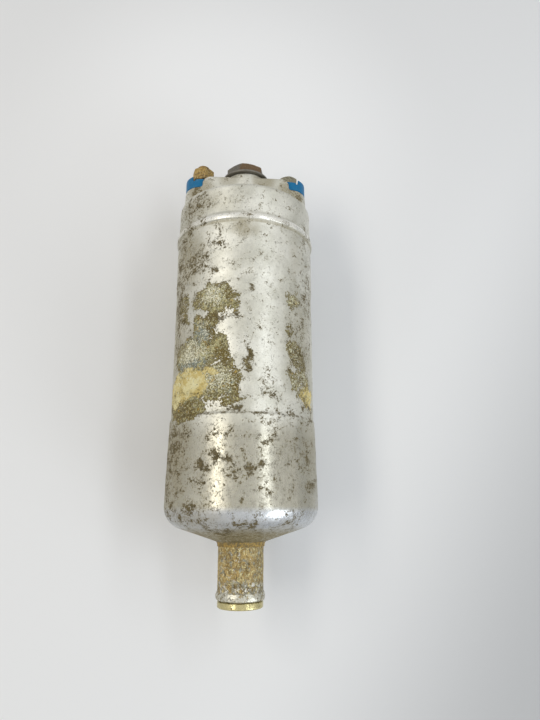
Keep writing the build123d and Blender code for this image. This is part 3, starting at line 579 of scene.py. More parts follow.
# Stains on the can: degrees from the top towards +X, millimetres along Y, half across, half along, strength.
CAN_STAINS = {
    "crust": (
        (-24, 15, 7.5, 6, 1), (-10, 13.5, 3.5, 5, 0.66), (-56, 15, 5, 6, 0.6), (-35, 4, 6, 4.5, 1),
        (-26, 7.5, 3, 3, 1), (-42, -4.5, 11, 6.5, 1), (-22, -3, 5, 6, 0.95), (-17, -14, 8, 7, 1),
        (-11, -20.5, 4, 3, 0.9), (-51, -22, 11, 5, 1), (-38, -14, 9, 5, 1), (3, -4, 1.2, 6, 0.5),
        (41, 17, 4, 4.5, 0.6), (38, 6, 3, 3, 0.6), (44, -3, 4.5, 6, 0.68), (50, -12, 6, 7, 0.74),
        (152, 12, 9, 7, 0.9), (-150, -8, 7, 9, 0.85), (100, -32, 6, 5, 0.75),
    ),
    "slate": ((-36, 3, 6, 3.5, 1), (-47, -7.5, 7, 3, 1), (-13, -17, 3.5, 3, 0.5), (-150, -9, 5, 5, 0.8)),
    "bloom": (
        (-26, 16, 5, 4, 1), (-46, -3, 7, 3.5, 1), (-57, -10, 7, 1.5, 1), (-20, -13, 6, 4, 0.75),
        (-33, 4, 3, 3, 0.5), (44, -3, 4, 5, 0.6), (50, -12, 5, 6, 0.7), (41, 17, 4, 4, 0.7),
        (152, 14, 5, 4, 0.9),
    ),
    "olive": (
        (-24, 8, 6, 2.5, 1), (-25, 3, 2.5, 4, 0.8), (-17, -6, 3.5, 4.5, 1), (-5, -14, 2, 7, 1),
        (-13, -22, 5, 2, 1), (-52, -23, 10, 3, 1), (-10, 17.5, 2, 4, 0.7), (-17, -15, 6, 5, 0.4),
        (3, -4, 1.5, 6, 1), (-19, 20.5, 5, 1.2, 0.9), (44, -3, 3.5, 5.5, 0.5), (50, -12, 5, 5, 0.5),
        (100, -32, 5, 5, 0.8), (-150, -2, 6, 3, 0.8),
    ),
    "ochre": (
        (-52, -14, 11, 5.5, 1), (-28, -11, 3, 1.6, 0.7), (-62, -18, 7, 3, 0.9), (62, -17, 5, 4, 0.75),
        (160, 9, 5, 3, 0.8),
    ),
    "speckle": (
        (3, -5, 1.2, 7, 1), (17, -16.5, 2, 4, 0.95), (20, -19, 2.5, 2, 0.9), (-16, 8, 6, 2, 0.9),
        (-41, 31, 8, 6, 1), (-22, 35.5, 2, 1.2, 1), (-20, 40.5, 1.2, 2, 0.95), (-38, 50, 3.5, 4, 0.8),
        (-48, 54, 9, 5, 0.8), (-51, 46, 4, 3.5, 0.85), (-59, 41.5, 3.5, 2.5, 0.8), (-60, 30, 8, 14, 0.62),
        (-25, 25.5, 2.5, 1.5, 0.8), (6, 18.5, 1.2, 1.2, 1), (-3, 22.5, 1, 1, 1), (-15, 46, 20, 10, 0.12),
        (0, 46.5, 3, 1, 0.9), (-20, -31.2, 2, 2, 0.9), (-11, -32.6, 1.5, 1.5, 0.9), (-28, -41.2, 3, 2, 1),
        (-20, -38.4, 2.4, 1.8, 1), (-12, -39.1, 2, 1.5, 1), (-35, -41.7, 2.5, 2, 1),
        (-33, -46.1, 2.4, 2.5, 1), (-20, -47.1, 1.6, 1.6, 0.9), (0, -36.7, 1.8, 1.8, 0.9),
        (-5, -39.2, 1.5, 1.4, 0.9), (8, -41.9, 3, 2, 1), (-6, -45, 1.8, 2, 1), (1, -50.7, 1.4, 2.1, 1),
        (23, -31.6, 2, 1.6, 1), (13, -33.1, 1.7, 1.3, 0.9), (50, -37.3, 3.5, 3.6, 1),
        (54, -41.4, 2.4, 2.6, 1), (60, -47.5, 4, 2.2, 1), (28, -24.3, 1.6, 1.5, 0.9),
        (37, -24.5, 2, 1.5, 1), (59, -25, 3.4, 1.8, 1), (-66, -38.5, 11, 16, 0.95), (-43, -56.5, 8, 4, 1),
        (10, -59.3, 2, 1.8, 1), (-10, -59.3, 7, 1.6, 0.9), (19, -61.1, 6, 1.4, 0.95),
        (-20, -40, 26, 12, 0.30), (45, -40, 16, 14, 0.42), (60, -20, 5, 3, 0.9), (-6, -24.1, 6, 0.9, 1),
        (8, -24.1, 3, 0.6, 1), (-19, -61, 9, 3, 0.9), (-60, -44, 8, 12, 0.7), (40, -59, 6, 2.5, 0.8),
        (0, -56, 30, 4, 0.25), (-66, 24, 7, 30, 0.85), (-68, -56, 8, 5, 0.85), (19, -61, 7, 1.5, 0.75),
        (-78, -38, 12, 12, 0.8), (-53, -29, 7, 3, 0.9), (54, 18.5, 3, 5, 0.85), (39, 6.5, 2.5, 3, 1),
        (48, -4.5, 5, 7, 0.85), (52, 0, 7, 22, 0.6), (56, 43, 4, 5, 0.7), (34, 44.5, 3.5, 2, 0.6),
        (62, 20, 5, 18, 0.6), (148, 2, 9, 3, 0.95), (-140, 2, 9, 4, 0.8), (110, 34, 10, 8, 0.75),
        (-110, 20, 8, 14, 0.6), (180, -40, 12, 9, 0.75), (95, -5, 6, 12, 0.6),
    ),
    "film": (
        (-1, 41.5, 3.5, 3.5, 1), (-1, 38.5, 2, 1, 0.8), (-56, 33, 9, 14, 1), (45, 33, 3.5, 8, 0.5),
        (-60, -37, 8, 17, 1), (-82, -38, 8, 20, 1), (-40, -58, 12, 4, 0.8), (20, -61, 14, 2, 0.7),
        (66, -33, 8, 14, 0.6), (53, 1, 8.5, 20, 0.6), (-66, 5, 7, 22, 0.9), (-45, 54, 9, 5, 0.7),
        (170, 30, 14, 12, 0.6), (-120, -30, 12, 14, 0.55), (90, 20, 8, 14, 0.5),
    ),
}
CAN_EVERYWHERE = {"speckle": -0.12, "film": 0.08}
CAN_SOFTNESS = {"speckle": 0.9, "film": 0.9, "slate": 0.7, "bloom": 0.7, "olive": 0.7}

# Stains on the cover and rust on the outlet hexagon: x, y, z and radius in millimetres, strength.
COVER_STAINS = {
    "crust": ((18.0, 62.0, -7.0, 5.0, 0.7), (-12.0, 60.5, 14.0, 4.5, 0.6), (10.0, 60.5, -16.0, 5.0, 0.7)),
    "speckle": (
        (-3.6, 75.0, 7.6, 2.6, 1.0), (-14.5, 70.0, 7.0, 3.0, 0.8), (-8.5, 66.0, 7.0, 1.6, 0.9),
        (-7.5, 73.0, 7.5, 2.4, 0.9), (-19.5, 68.0, 6.5, 3.2, 1.0), (20.0, 67.5, 6.0, 3.2, 0.9),
        (12.0, 60.5, 14.0, 7.0, 0.6), (-14.0, 60.5, -14.0, 7.0, 0.6),
    ),
    "film": (
        (7.0, 73.0, 8.0, 4.5, 0.9), (-7.0, 73.0, 8.0, 4.0, 0.7), (-17.6, 68.6, 7.0, 4.5, 1.0),
        (17.6, 68.4, 7.0, 4.5, 1.0), (-20.0, 68.0, 6.5, 4.0, 1.0), (20.0, 68.0, 6.5, 4.0, 1.0),
        (0.0, 60.5, 10.0, 7.0, 0.7), (0.0, 60.5, -12.0, 9.0, 0.7),
    ),
}
COVER_EVERYWHERE = {"speckle": 0.20, "film": 0.14}
OUTLET_STAINS = {
    "rust": ((2.6, 78.5, 7.0, 5.2, 1.0), (-4.5, 79.0, -6.5, 5.0, 0.9), (-8.0, 77.5, 1.0, 2.0, 0.7)),
}
OUTLET_EVERYWHERE = {"rust": 0.12}


def vertex_array(mesh, what):
    """A vector of each of a mesh's points: its place or its normal."""
    values = np.empty(len(mesh.vertices) * 3, np.float32)
    mesh.vertices.foreach_get(what, values)
    return values.reshape(-1, 3)


def soft_edge(distance, softness):
    """1 well inside a patch, 0 outside, and half way at its stated size."""
    t = np.clip((1 + softness - distance) / (2 * softness), 0.0, 1.0)
    return t * t * (3 - 2 * t)


def paint(mesh, stains, everywhere, distance, softness):
    """Stores one mask per kind of stain on a mesh's points, where a material reads it by its name.

    distance gives the points' distances from a stain's middle, as parts of its size.
    """
    masks = {}
    for channel, spots in stains.items():
        mask = np.full(len(mesh.vertices), everywhere.get(channel, 0.0))
        for *spot, strength in spots:
            mask = np.maximum(mask, strength * soft_edge(distance(*spot), softness.get(channel, 0.45)))
        made = mesh.attributes.new(channel, "FLOAT", "POINT")
        made.data.foreach_set("value", mask.astype(np.float32))
        masks[channel] = mask
    return masks


def paint_can(mesh):
    """Paints the can's stains as soft ellipses with wavy outlines."""
    wave_seed, wave_size, wave_degrees, wave_along = 7, 6.0, 5.0, 2.0
    place = vertex_array(mesh, "co") / MM
    noise.seed_set(wave_seed)
    wave = np.array([noise.turbulence_vector(Vector(point) / wave_size, 2, False) for point in place])
    turn = np.degrees(np.arctan2(place[:, 0], place[:, 2])) + wave_degrees * wave[:, 0]
    height = place[:, 1] + wave_along * wave[:, 1]
    radius = np.hypot(place[:, 0], place[:, 2])

    def ellipse(middle, along_y, half_across, half_along):
        across = np.radians((turn - middle + 180) % 360 - 180) * radius / half_across
        return np.hypot(across, (height - along_y) / half_along)

    return paint(mesh, CAN_STAINS, CAN_EVERYWHERE, ellipse, CAN_SOFTNESS)


def paint_spots(mesh, stains, everywhere):
    """Paints stains as soft balls."""
    place = vertex_array(mesh, "co") / MM

    def ball(x, y, z, radius):
        return np.linalg.norm(place - np.array((x, y, z)), axis=1) / radius

    paint(mesh, stains, everywhere, ball, {})


def pit_surface(mesh, mask, depth, grain):
    """Sinks points by noise where a mask is strong, so that corrosion has a real relief."""
    faintest, fractal_gain = 0.25, 1.6
    places = vertex_array(mesh, "co")
    normals = vertex_array(mesh, "normal")
    for i in np.nonzero(mask > faintest)[0]:
        value = noise.fractal(Vector(places[i]) / grain, 0.9, 2.1, 4)
        places[i] -= normals[i] * depth * mask[i] * min(1.0, abs(value) * fractal_gain)
    mesh.vertices.foreach_set("co", places.ravel())
    mesh.update()


# Shared shader groups

@node_group(SHADER, Patch=FLOAT, Core=FLOAT, Border=FLOAT)
def ragged_patch(n, place: VECTOR, painted: FLOAT, spread: FLOAT, grain: FLOAT):
    """Turns a painted mask into a patch with a ragged edge, its core and its border."""
    coarse = n.noise(place, grain * 0.45, 5.0, 0.62, 0.4)
    fine = n.noise(place, grain * 2.2, 4.0, 0.7)
    level = painted + (coarse + fine - 1.0) * spread
    patch, core = n.ramp(level, 0.46, 0.53), n.ramp(level, 0.64, 0.84)
    return {"Patch": patch, "Core": core, "Border": patch - core}


@node_group(SHADER, Specks=FLOAT, Halo=FLOAT)
def specks(n, place: VECTOR, density: FLOAT, size: FLOAT):
    """Small clustered specks, more of them where the density is higher."""
    small = n.noise(place, 1.0 / size, 5.0, 0.66, 0.7)
    cluster = n.noise(place, 0.22 / size, 3.0, 0.6)
    level = small + density * 0.20 + (cluster - 0.5) * 0.75
    return {"Specks": n.ramp(level, 0.67, 0.74), "Halo": n.ramp(level, 0.58, 0.72)}


@node_group(SHADER, Colour=COLOUR, Height=FLOAT)
def mottle(n, place: VECTOR, grain: FLOAT, dark: COLOUR, middle: COLOUR, pale: COLOUR):
    """Three colours mottled together, as on a corrosion crust."""
    broad = n.noise(place, grain, 6.0, 0.66, 0.6)
    fine = n.noise(place, grain * 2.9, 5.0, 0.72)
    shade = n.mix(n.ramp(broad, 0.38, 0.58), dark, middle)
    return {"Colour": n.mix(n.ramp(fine, 0.50, 0.64), shade, pale), "Height": broad * 0.5 + fine * 0.5}


@node_group(SHADER, Colour=COLOUR, Height=FLOAT)
def crusting(n, place: VECTOR, slate: FLOAT, bloom: FLOAT, olive: FLOAT):
    """A corrosion crust: grey-green, with more slate blue, white or olive brown where they are painted."""
    look = looks()
    fleck = (0.46, 0.31, 0.07)
    base = n.noise(place, 0.9, 6.0, 0.68, 0.5)
    fine = n.noise(place, 2.4, 5.0, 0.75)
    shade = n.mix(n.ramp(base, 0.40, 0.58), look.crust_dark, look.crust_middle)
    layers = (
        Layer(look.crust_slate, 11.0, 0.7, slate * 0.20, 0.58, 0.68),
        Layer(look.crust_olive, 37.0, 1.1, olive * 0.15, 0.56, 0.64),
        Layer(look.crust_pale, 23.0, 1.9, bloom * 0.14, 0.56, 0.64),
        Layer(fleck, 53.0, 0.55, 0.0, 0.56, 0.66, 0.8),
    )
    shade = n.layered(shade, place, layers, 0.4)
    shade = n.scaled(shade, n.ramp(fine, 0.36, 0.64, 0.52, 1.36))
    return {"Colour": shade, "Height": base * 0.5 + fine * 0.5}


@node_group(SHADER, Tone=FLOAT, Marks=FLOAT, Broad=FLOAT)
def handling(n, place: VECTOR, stretch: VECTOR):
    """Uneven tone and fine scratches. Stretch shortens the pattern on each axis, so marks can run one way."""
    broad = n.noise(place, 0.09, 3.0, 0.5)
    marks = n.noise(n.vector("MULTIPLY", place, stretch), 1.0, 5.0, 0.65)
    freckle = n.noise(place, 2.4, 3.0, 0.7)
    tone = n.spread(broad, 0.88, 0.98) + n.spread(marks, -0.05, 0.05) + n.spread(freckle, -0.07, 0.05)
    return {"Tone": tone, "Marks": marks, "Broad": broad}


# Materials

class Surface(Nodes):
    """The nodes of one material round one Principled shader. Its lengths are in millimetres."""

    def __init__(self, name):
        self.material = bpy.data.materials.get(name) or bpy.data.materials.new(name)
        self.material.use_nodes = True
        self.material.node_tree.nodes.clear()
        super().__init__(self.material.node_tree)
        self.place = self.scaled(self.get("ShaderNodeTexCoord", (), "Object"), 1 / MM)

    def worn(self, *stretch):
        return self.shared(handling(), Place=self.place, Stretch=stretch)

    def patch(self, channel, spread, grain):
        """A painted mask as a ragged patch."""
        painted = self.painted(channel)
        return self.shared(ragged_patch(), Place=self.place, Painted=painted, Spread=spread, Grain=grain)

    def shaded(self, shade, roughness, height, metallic=0.0, bump=0.05, specular=0.5):
        """The finished material. bump is how far its relief seems to rise."""
        relief = self.get("ShaderNodeBump", {"Height": height, "Distance": bump * MM, "Strength": 1.0})
        inputs = {"Base Color": shade, "Metallic": metallic, "Roughness": roughness}
        inputs.update({"Specular IOR Level": specular, "Normal": relief})
        self.add("ShaderNodeOutputMaterial", {"Surface": self.get("ShaderNodeBsdfPrincipled", inputs)})
        return self.material


def can_material():
    """Drawn aluminium with oxide haze, a mottled crust, ochre blocks, brown specks and dirt, with some
    painted highlight, reflection and shade.
    """
    bead_span, painted_reflection_span, shade_under_bead_span = (45.3, 46.9), (-60.0, -56.0), (43.9, 44.7)
    step_shade_span, root_shade_span = (-24.9, -24.3), (-65.6, -64.9)
    bead_painted_highlight, corner_painted_reflection, ochre_border = (0.84, 0.83, 0.77), (0.60, 0.62, 0.64), (0.60, 0.45, 0.14)
    yellow_dark, yellow_pale = (0.62, 0.49, 0.18), (0.80, 0.75, 0.46)
    look = looks()
    n = Surface("weathered_can")
    height = n.axis(n.place, "Y")
    worn = n.worn(1.2, 0.5, 1.2)
    crust = n.patch("crust", 1.9, 0.62)
    ochre = n.patch("ochre", 1.5, 0.6)
    speckle = n.painted("speckle")
    spots = n.shared(specks(), Place=n.place, Density=speckle, Size=0.8)
    finer = n.math("MULTIPLY_ADD", speckle, 0.5, 0.16)
    dots = n.shared(specks(), Place=n.vector("ADD", n.place, (31.0, 7.0, 13.0)), Density=finer, Size=0.38)
    tints = {"Slate": n.painted("slate"), "Bloom": n.painted("bloom"), "Olive": n.painted("olive")}
    crusted = n.shared(crusting(), Place=n.place, **tints)
    tints = {"Dark": yellow_dark, "Middle": look.ochre_pale, "Pale": yellow_pale}
    yellowed = n.shared(mottle(), Place=n.place, Grain=0.22, **tints)

    polished = n.ramp(height, -23.0, -33.0)
    bead = n.within(height, bead_span, 0.4)
    metal = n.mix(n.ramp(worn["Broad"], 0.35, 0.65), look.haze, look.bare)
    # The lower length's darker colour is partly its smoother polish and partly a painted reflection of dark
    # surroundings.
    metal = n.mix(polished, metal, look.polished)
    # A blue-grey band round the bottom corner is a painted reflection of a pale bluish light.
    metal = n.mix(n.within(height, painted_reflection_span, 2.5), metal, corner_painted_reflection)
    # The bead is bare rubbed metal, and its colour is painted brighter than bare aluminium as a painted
    # highlight along it.
    metal = n.mix(bead, n.scaled(metal, worn["Tone"]), bead_painted_highlight)

    # Dirt lies in the painted places and all round the cone's root; a dark line under the bead is painted
    # shade.
    root = n.ramp(height, -59.8, -63.5)
    shade_under_bead = n.within(height, shade_under_bead_span, 0.25) * 0.8
    # dirt here also carries the painted shade under the bead.
    dirt = n.most(n.painted("film"), root, shade_under_bead) * n.ramp(worn["Marks"], 0.25, 0.62, 0.35, 1.0)
    metal = n.mix(dirt * 0.70, metal, look.film)
    # Broken dark lines in the step and at the cone's root are painted shade in these creases, coloured like
    # the specks.
    broken = n.ramp(n.noise(n.place, 0.4, 5.0, 0.7), 0.47, 0.56)
    shade_lines = n.most(n.within(height, step_shade_span, 0.2), n.within(height, root_shade_span, 0.3)) * broken

    shade = n.mix(crust["Patch"], metal, crusted["Colour"])
    shade = n.mix(ochre["Patch"], shade, n.mix(ochre["Border"] * 0.6, yellowed["Colour"], ochre_border))
    rim = crust["Border"] * n.ramp(crusted["Height"], 0.40, 0.56, 0.4, 1.0) * (1.0 - ochre["Core"])
    shade = n.mix(rim * 0.92, shade, look.crust_olive)
    shade = n.mix(spots["Halo"] * 0.45, shade, look.film)
    specks_and_shade_lines = n.most(spots["Specks"], dots["Specks"] * 0.7, shade_lines * 0.8)
    brown = n.mix(n.ramp(crusted["Height"], 0.42, 0.56), look.brown_dark, look.brown)
    shade = n.mix(specks_and_shade_lines * 0.92, shade, brown)
    root_dirt = root * n.ramp(crusted["Height"], 0.44, 0.54)
    shade = n.mix(root_dirt * 0.8, shade, look.crust_olive)
    collar = n.ramp(height, -65.2, -65.9)
    rusty = n.mix(n.ramp(crusted["Height"], 0.44, 0.56), look.brown, look.ochre)
    shade = n.mix(collar * 0.85, shade, rusty)

    dull = n.most(dirt, spots["Halo"]) * 0.5
    covered = n.most(crust["Patch"], ochre["Patch"], specks_and_shade_lines, dull, collar, root_dirt)
    bare = look.can_roughness - n.most(polished, bead) * look.polish + n.spread(worn["Marks"], -0.04, 0.06)
    relief = crusted["Height"] * (crust["Patch"] * 2.2) - specks_and_shade_lines * 0.9 + worn["Marks"] * 0.12
    relief = relief * (1.0 - bead * 0.8)
    metallic = n.ramp(covered, 0.0, 1.0, 0.78, 0.0)
    return n.shaded(shade, n.blend(covered, bare, 0.82), relief, metallic, bump=0.06, specular=0.3)


def cover_material():
    """Die-cast aluminium: grainy, dull, with dirt in its corners."""
    look = looks()
    n = Surface("cast_cover")
    worn = n.worn(1.3, 1.3, 1.3)
    spots = n.shared(specks(), Place=n.place, Density=n.painted("speckle"), Size=0.7)
    crust = n.patch("crust", 1.1, 0.8)["Patch"]
    crusted = n.shared(crusting(), Place=n.place, Slate=0.2, Bloom=0.5, Olive=0.2)
    grain = n.noise(n.place, 2.4, 4.0, 0.65)
    metal = n.scaled(n.mix(n.ramp(worn["Broad"], 0.35, 0.65), look.haze, look.bare), worn["Tone"])
    dirt = n.painted("film") * n.ramp(grain, 0.3, 0.6, 0.4, 1.0)
    shade = n.mix(dirt * 0.75, metal, look.film)
    shade = n.mix(crust, shade, crusted["Colour"])
    shade = n.mix(spots["Halo"] * 0.3, shade, look.film)
    shade = n.mix(spots["Specks"] * 0.85, shade, look.brown)
    covered = n.most(crust, spots["Specks"], dirt * 0.7)
    relief = grain * 0.5 + crust * crusted["Height"] - spots["Specks"] * 0.6
    metallic = n.ramp(covered, 0.0, 1.0, 0.55, 0.0)
    return n.shaded(shade, n.blend(covered, 0.55, 0.85), relief, metallic, bump=0.07, specular=0.35)


def spigot_material():
    """The spigot's aluminium under ochre, grey, white and brown corrosion, bare on its bead."""
    ochre_dark, ochre_middle, bead_bare = (0.24, 0.165, 0.055), (0.46, 0.325, 0.12), (0.56, 0.545, 0.46)
    grey, brown, white = (0.30, 0.29, 0.22), (0.13, 0.095, 0.035), (0.70, 0.68, 0.60)
    darker_x_side = (0.16, 0.14, 0.09)
    n = Surface("corroded_spigot")
    height = n.axis(n.place, "Y")
    long_way = n.vector("MULTIPLY", n.place, (1.0, 0.7, 1.0))
    tints = {"Dark": ochre_dark, "Middle": ochre_middle, "Pale": looks().ochre_pale}
    ochres = n.shared(mottle(), Place=long_way, Grain=0.42, **tints)
    more_at_tip = n.ramp(height, -76.0, -81.0, 0.0, 0.07)
    layers = (
        Layer(grey, 9.0, 0.60, more_at_tip, 0.52, 0.62),
        Layer(brown, 17.0, 1.05, more_at_tip, 0.55, 0.64),
        Layer(white, 29.0, 0.85, more_at_tip, 0.57, 0.66),
    )
    shade = n.layered(ochres["Colour"], long_way, layers, 0.6)
    shade = n.scaled(shade, n.ramp(n.noise(n.place, 2.6, 4.0, 0.7), 0.34, 0.66, 0.62, 1.38))
    # The spigot is darker towards +X.
    shade = n.mix(n.ramp(n.axis(n.place, "X"), 1.0, 6.0, 0.0, 0.3), shade, darker_x_side)
    bloom = n.noise(n.place, 0.75, 6.0, 0.68, 0.5)
    bead = n.ramp(height, -81.2, -81.8) * n.ramp(bloom, 0.56, 0.48)
    shade = n.mix(bead, shade, bead_bare)
    roughness = n.blend(bead, n.spread(bloom, 0.60, 0.85), 0.32)
    relief = bloom * 0.7 + ochres["Height"] * 0.6
    return n.shaded(shade, roughness, relief, bead * 0.85, bump=0.20, specular=0.35)


def corroded_metal(name, base, dark, stain, metallic, roughness, grain, bump, amount):
    """Metal with tarnish and stains. amount is how much of it the stain covers."""
    n = Surface(name)
    worn = n.worn(1.2, 1.2, 1.2)
    mixed = n.shared(mottle(), Place=n.place, Grain=grain, Dark=dark, Middle=base, Pale=stain)
    least = 0.68 - 0.34 * amount
    cover = n.ramp(n.noise(n.place, grain * 0.55, 5.0, 0.65, 0.5), least, least + 0.08)
    shade = n.scaled(n.mix(cover, base, mixed["Colour"]), worn["Tone"])
    rough = n.blend(cover, n.spread(worn["Marks"], roughness - 0.08, roughness + 0.1), 0.8)
    relief = mixed["Height"] * cover + worn["Marks"] * 0.3
    return n.shaded(shade, rough, relief, n.blend(cover, metallic, metallic * 0.25), bump)


def outlet_material():
    """Dark steel, rusted brown where it is painted."""
    rust_pale, steel_pale = (0.20, 0.125, 0.062), (0.24, 0.22, 0.18)
    look = looks()
    n = Surface("rusty_outlet_hexagon")
    fine = n.noise(n.place, 2.2, 5.0, 0.7)
    rusted = n.patch("rust", 0.9, 0.8)["Patch"]
    rust = n.mix(n.ramp(fine, 0.4, 0.65), look.rust, rust_pale)
    steel = n.mix(n.ramp(fine, 0.45, 0.7), look.steel_dark, steel_pale)
    roughness = n.blend(rusted, n.spread(fine, 0.36, 0.55), 0.78)
    metallic = n.blend(rusted, 0.7, 0.1)
    return n.shaded(n.mix(rusted, steel, rust), roughness, fine + rusted * 0.4, metallic, bump=0.06)


def moulded(name, base, dust, roughness=0.42, bump=0.02, dusting=0.5, grain=1.6):
    """Moulded plastic or rubber with a fine skin and some dust."""
    n = Surface(name)
    worn = n.worn(1.0, 1.0, 1.0)
    skin = n.noise(n.place, grain * 2.5, 4.0, 0.6)
    dusty = n.ramp(n.noise(n.place, grain * 0.35, 5.0, 0.65), 0.50, 0.72) * dusting
    shade = n.scaled(n.mix(dusty, base, dust), worn["Tone"])
    rough = n.spread(skin, roughness - 0.06, roughness + 0.08) + dusty * 0.3
    return n.shaded(shade, rough, skin + worn["Marks"] * 0.5, bump=bump, specular=0.3)


def machined(name, base, dark, roughness=0.28, stretch=(0.3, 9.0, 0.3), bump=0.01):
    """Clean machined or drawn metal. Stretch sets which way the tool marks run."""
    clean_metallic, tarnished_metallic = 0.95, 0.8075
    n = Surface(name)
    worn = n.worn(*stretch)
    tarnish = n.ramp(n.noise(n.place, 0.4, 5.0, 0.6), 0.45, 0.75)
    shade = n.scaled(n.mix(tarnish * 0.5, base, dark), worn["Tone"])
    rough = n.spread(worn["Marks"], roughness - 0.06, roughness + 0.1) + tarnish * 0.12
    return n.shaded(shade, rough, worn["Marks"], n.blend(tarnish, clean_metallic, tarnished_metallic), bump)


def banded(name, base, dark, pitch, axis="Y", metallic=0.8, roughness=0.4, bump=0.05):
    """Fine even bands, as on stacked sheet or wound wire."""
    n = Surface(name)
    worn = n.worn(1.0, 1.0, 1.0)
    wobble = n.noise(n.place, 0.5, 3.0, 0.5) * 0.25
    edge = n.ramp(n.math("PINGPONG", n.axis(n.place, axis) / pitch + wobble, 0.5), 0.0, 0.18)
    shade = n.scaled(n.mix(edge, dark, base), worn["Tone"])
    rough = n.spread(worn["Marks"], roughness - 0.05, roughness + 0.12)
    return n.shaded(shade, rough, edge + worn["Marks"] * 0.2, n.blend(edge, metallic * 0.6, metallic), bump)


def slot_materials():
    """The materials of the pieces whose CAD shape stays, by the record's slot."""
    return {
        "pump_steel": machined("ground_steel", (0.56, 0.56, 0.55), (0.30, 0.28, 0.25)),
        "spring_steel": machined(
            "spring_wire", (0.48, 0.48, 0.49), (0.22, 0.20, 0.18), roughness=0.3, stretch=(2.0, 2.0, 2.0)
        ),
        "flux_steel": machined(
            "flux_tube_steel", (0.42, 0.43, 0.40), (0.24, 0.23, 0.18),
            roughness=0.4, stretch=(2.0, 0.15, 2.0), bump=0.02,
        ),
        "ferrite": moulded("ferrite_ceramic", (0.055, 0.055, 0.06), (0.13, 0.12, 0.11), 0.6, bump=0.05),
        "lamination": banded("stacked_laminations", (0.40, 0.40, 0.41), (0.10, 0.095, 0.09), pitch=0.5),
        "copper": banded(
            "enamelled_winding", (0.50, 0.20, 0.07), (0.16, 0.055, 0.02),
            pitch=0.7, axis="X", metallic=0.7, roughness=0.32, bump=0.12,
        ),
        "commutator_copper": machined(
            "commutator_bars", (0.74, 0.38, 0.20), (0.20, 0.11, 0.07), roughness=0.3, stretch=(3.0, 0.3, 3.0)
        ),
        "bronze": corroded_metal(
            "sintered_bronze", (0.52, 0.35, 0.16), (0.22, 0.13, 0.06), (0.60, 0.46, 0.27),
            metallic=0.8, roughness=0.45, grain=2.0, bump=0.04, amount=0.3,
        ),
        "carbon": moulded(
            "carbon_brush", (0.028, 0.028, 0.030), (0.09, 0.085, 0.08),
            roughness=0.5, bump=0.04, dusting=0.4, grain=2.2,
        ),
        "brown_plastic": moulded("phenolic_moulding", (0.13, 0.062, 0.028), (0.30, 0.25, 0.19), 0.4),
        "white_plastic": moulded("acetal_moulding", (0.72, 0.71, 0.65), (0.45, 0.38, 0.26), 0.38),
        "rubber": moulded("seal_rubber", (0.02, 0.02, 0.021), (0.10, 0.095, 0.085), 0.62, bump=0.03),
        "outlet_gasket": corroded_metal(
            "crushed_washer", (0.20, 0.185, 0.155), (0.10, 0.09, 0.08), (0.30, 0.28, 0.23),
            metallic=0.6, roughness=0.5, grain=1.4, bump=0.05, amount=0.4,
        ),
    }


def floor_material(tint, height):
    """The pale floor, with a painted shadow towards the lower right of the view and a painted pool of light
    at its top.
    """
    shadow_angle, shadow_from, shadow_to, shadow_level = math.radians(-30), 55.0, 172.0, 0.56
    light_pool_centre, light_pool_core_r, light_pool_r, light_pool_gain = (-13.0, 125.0, height), 30.0, 120.0, 1.14
    outward = (math.cos(shadow_angle), math.sin(shadow_angle), 0.0)
    n = Surface("pale_table")
    cloud = n.noise(n.place, 0.004, 2.0, 0.5)
    speck = n.noise(n.place, 0.6, 3.0, 0.6)
    along = n.vector("DOT_PRODUCT", n.place, outward, output="Value")
    away = n.vector("DISTANCE", n.place, light_pool_centre, output="Value")
    # Painted shadow towards the lower right, and a painted pool of light round the top.
    painted_shadow = n.ramp(along, shadow_from, shadow_to, 1.0, shadow_level)
    painted_light_pool = n.ramp(away, light_pool_core_r, light_pool_r, light_pool_gain, 1.0)
    shade = n.scaled(tint, painted_shadow * painted_light_pool * n.spread(cloud, 0.985, 1.0))
    return n.shaded(shade, n.spread(speck, 0.55, 0.65), speck, bump=0.01, specular=0.3)


# Operators

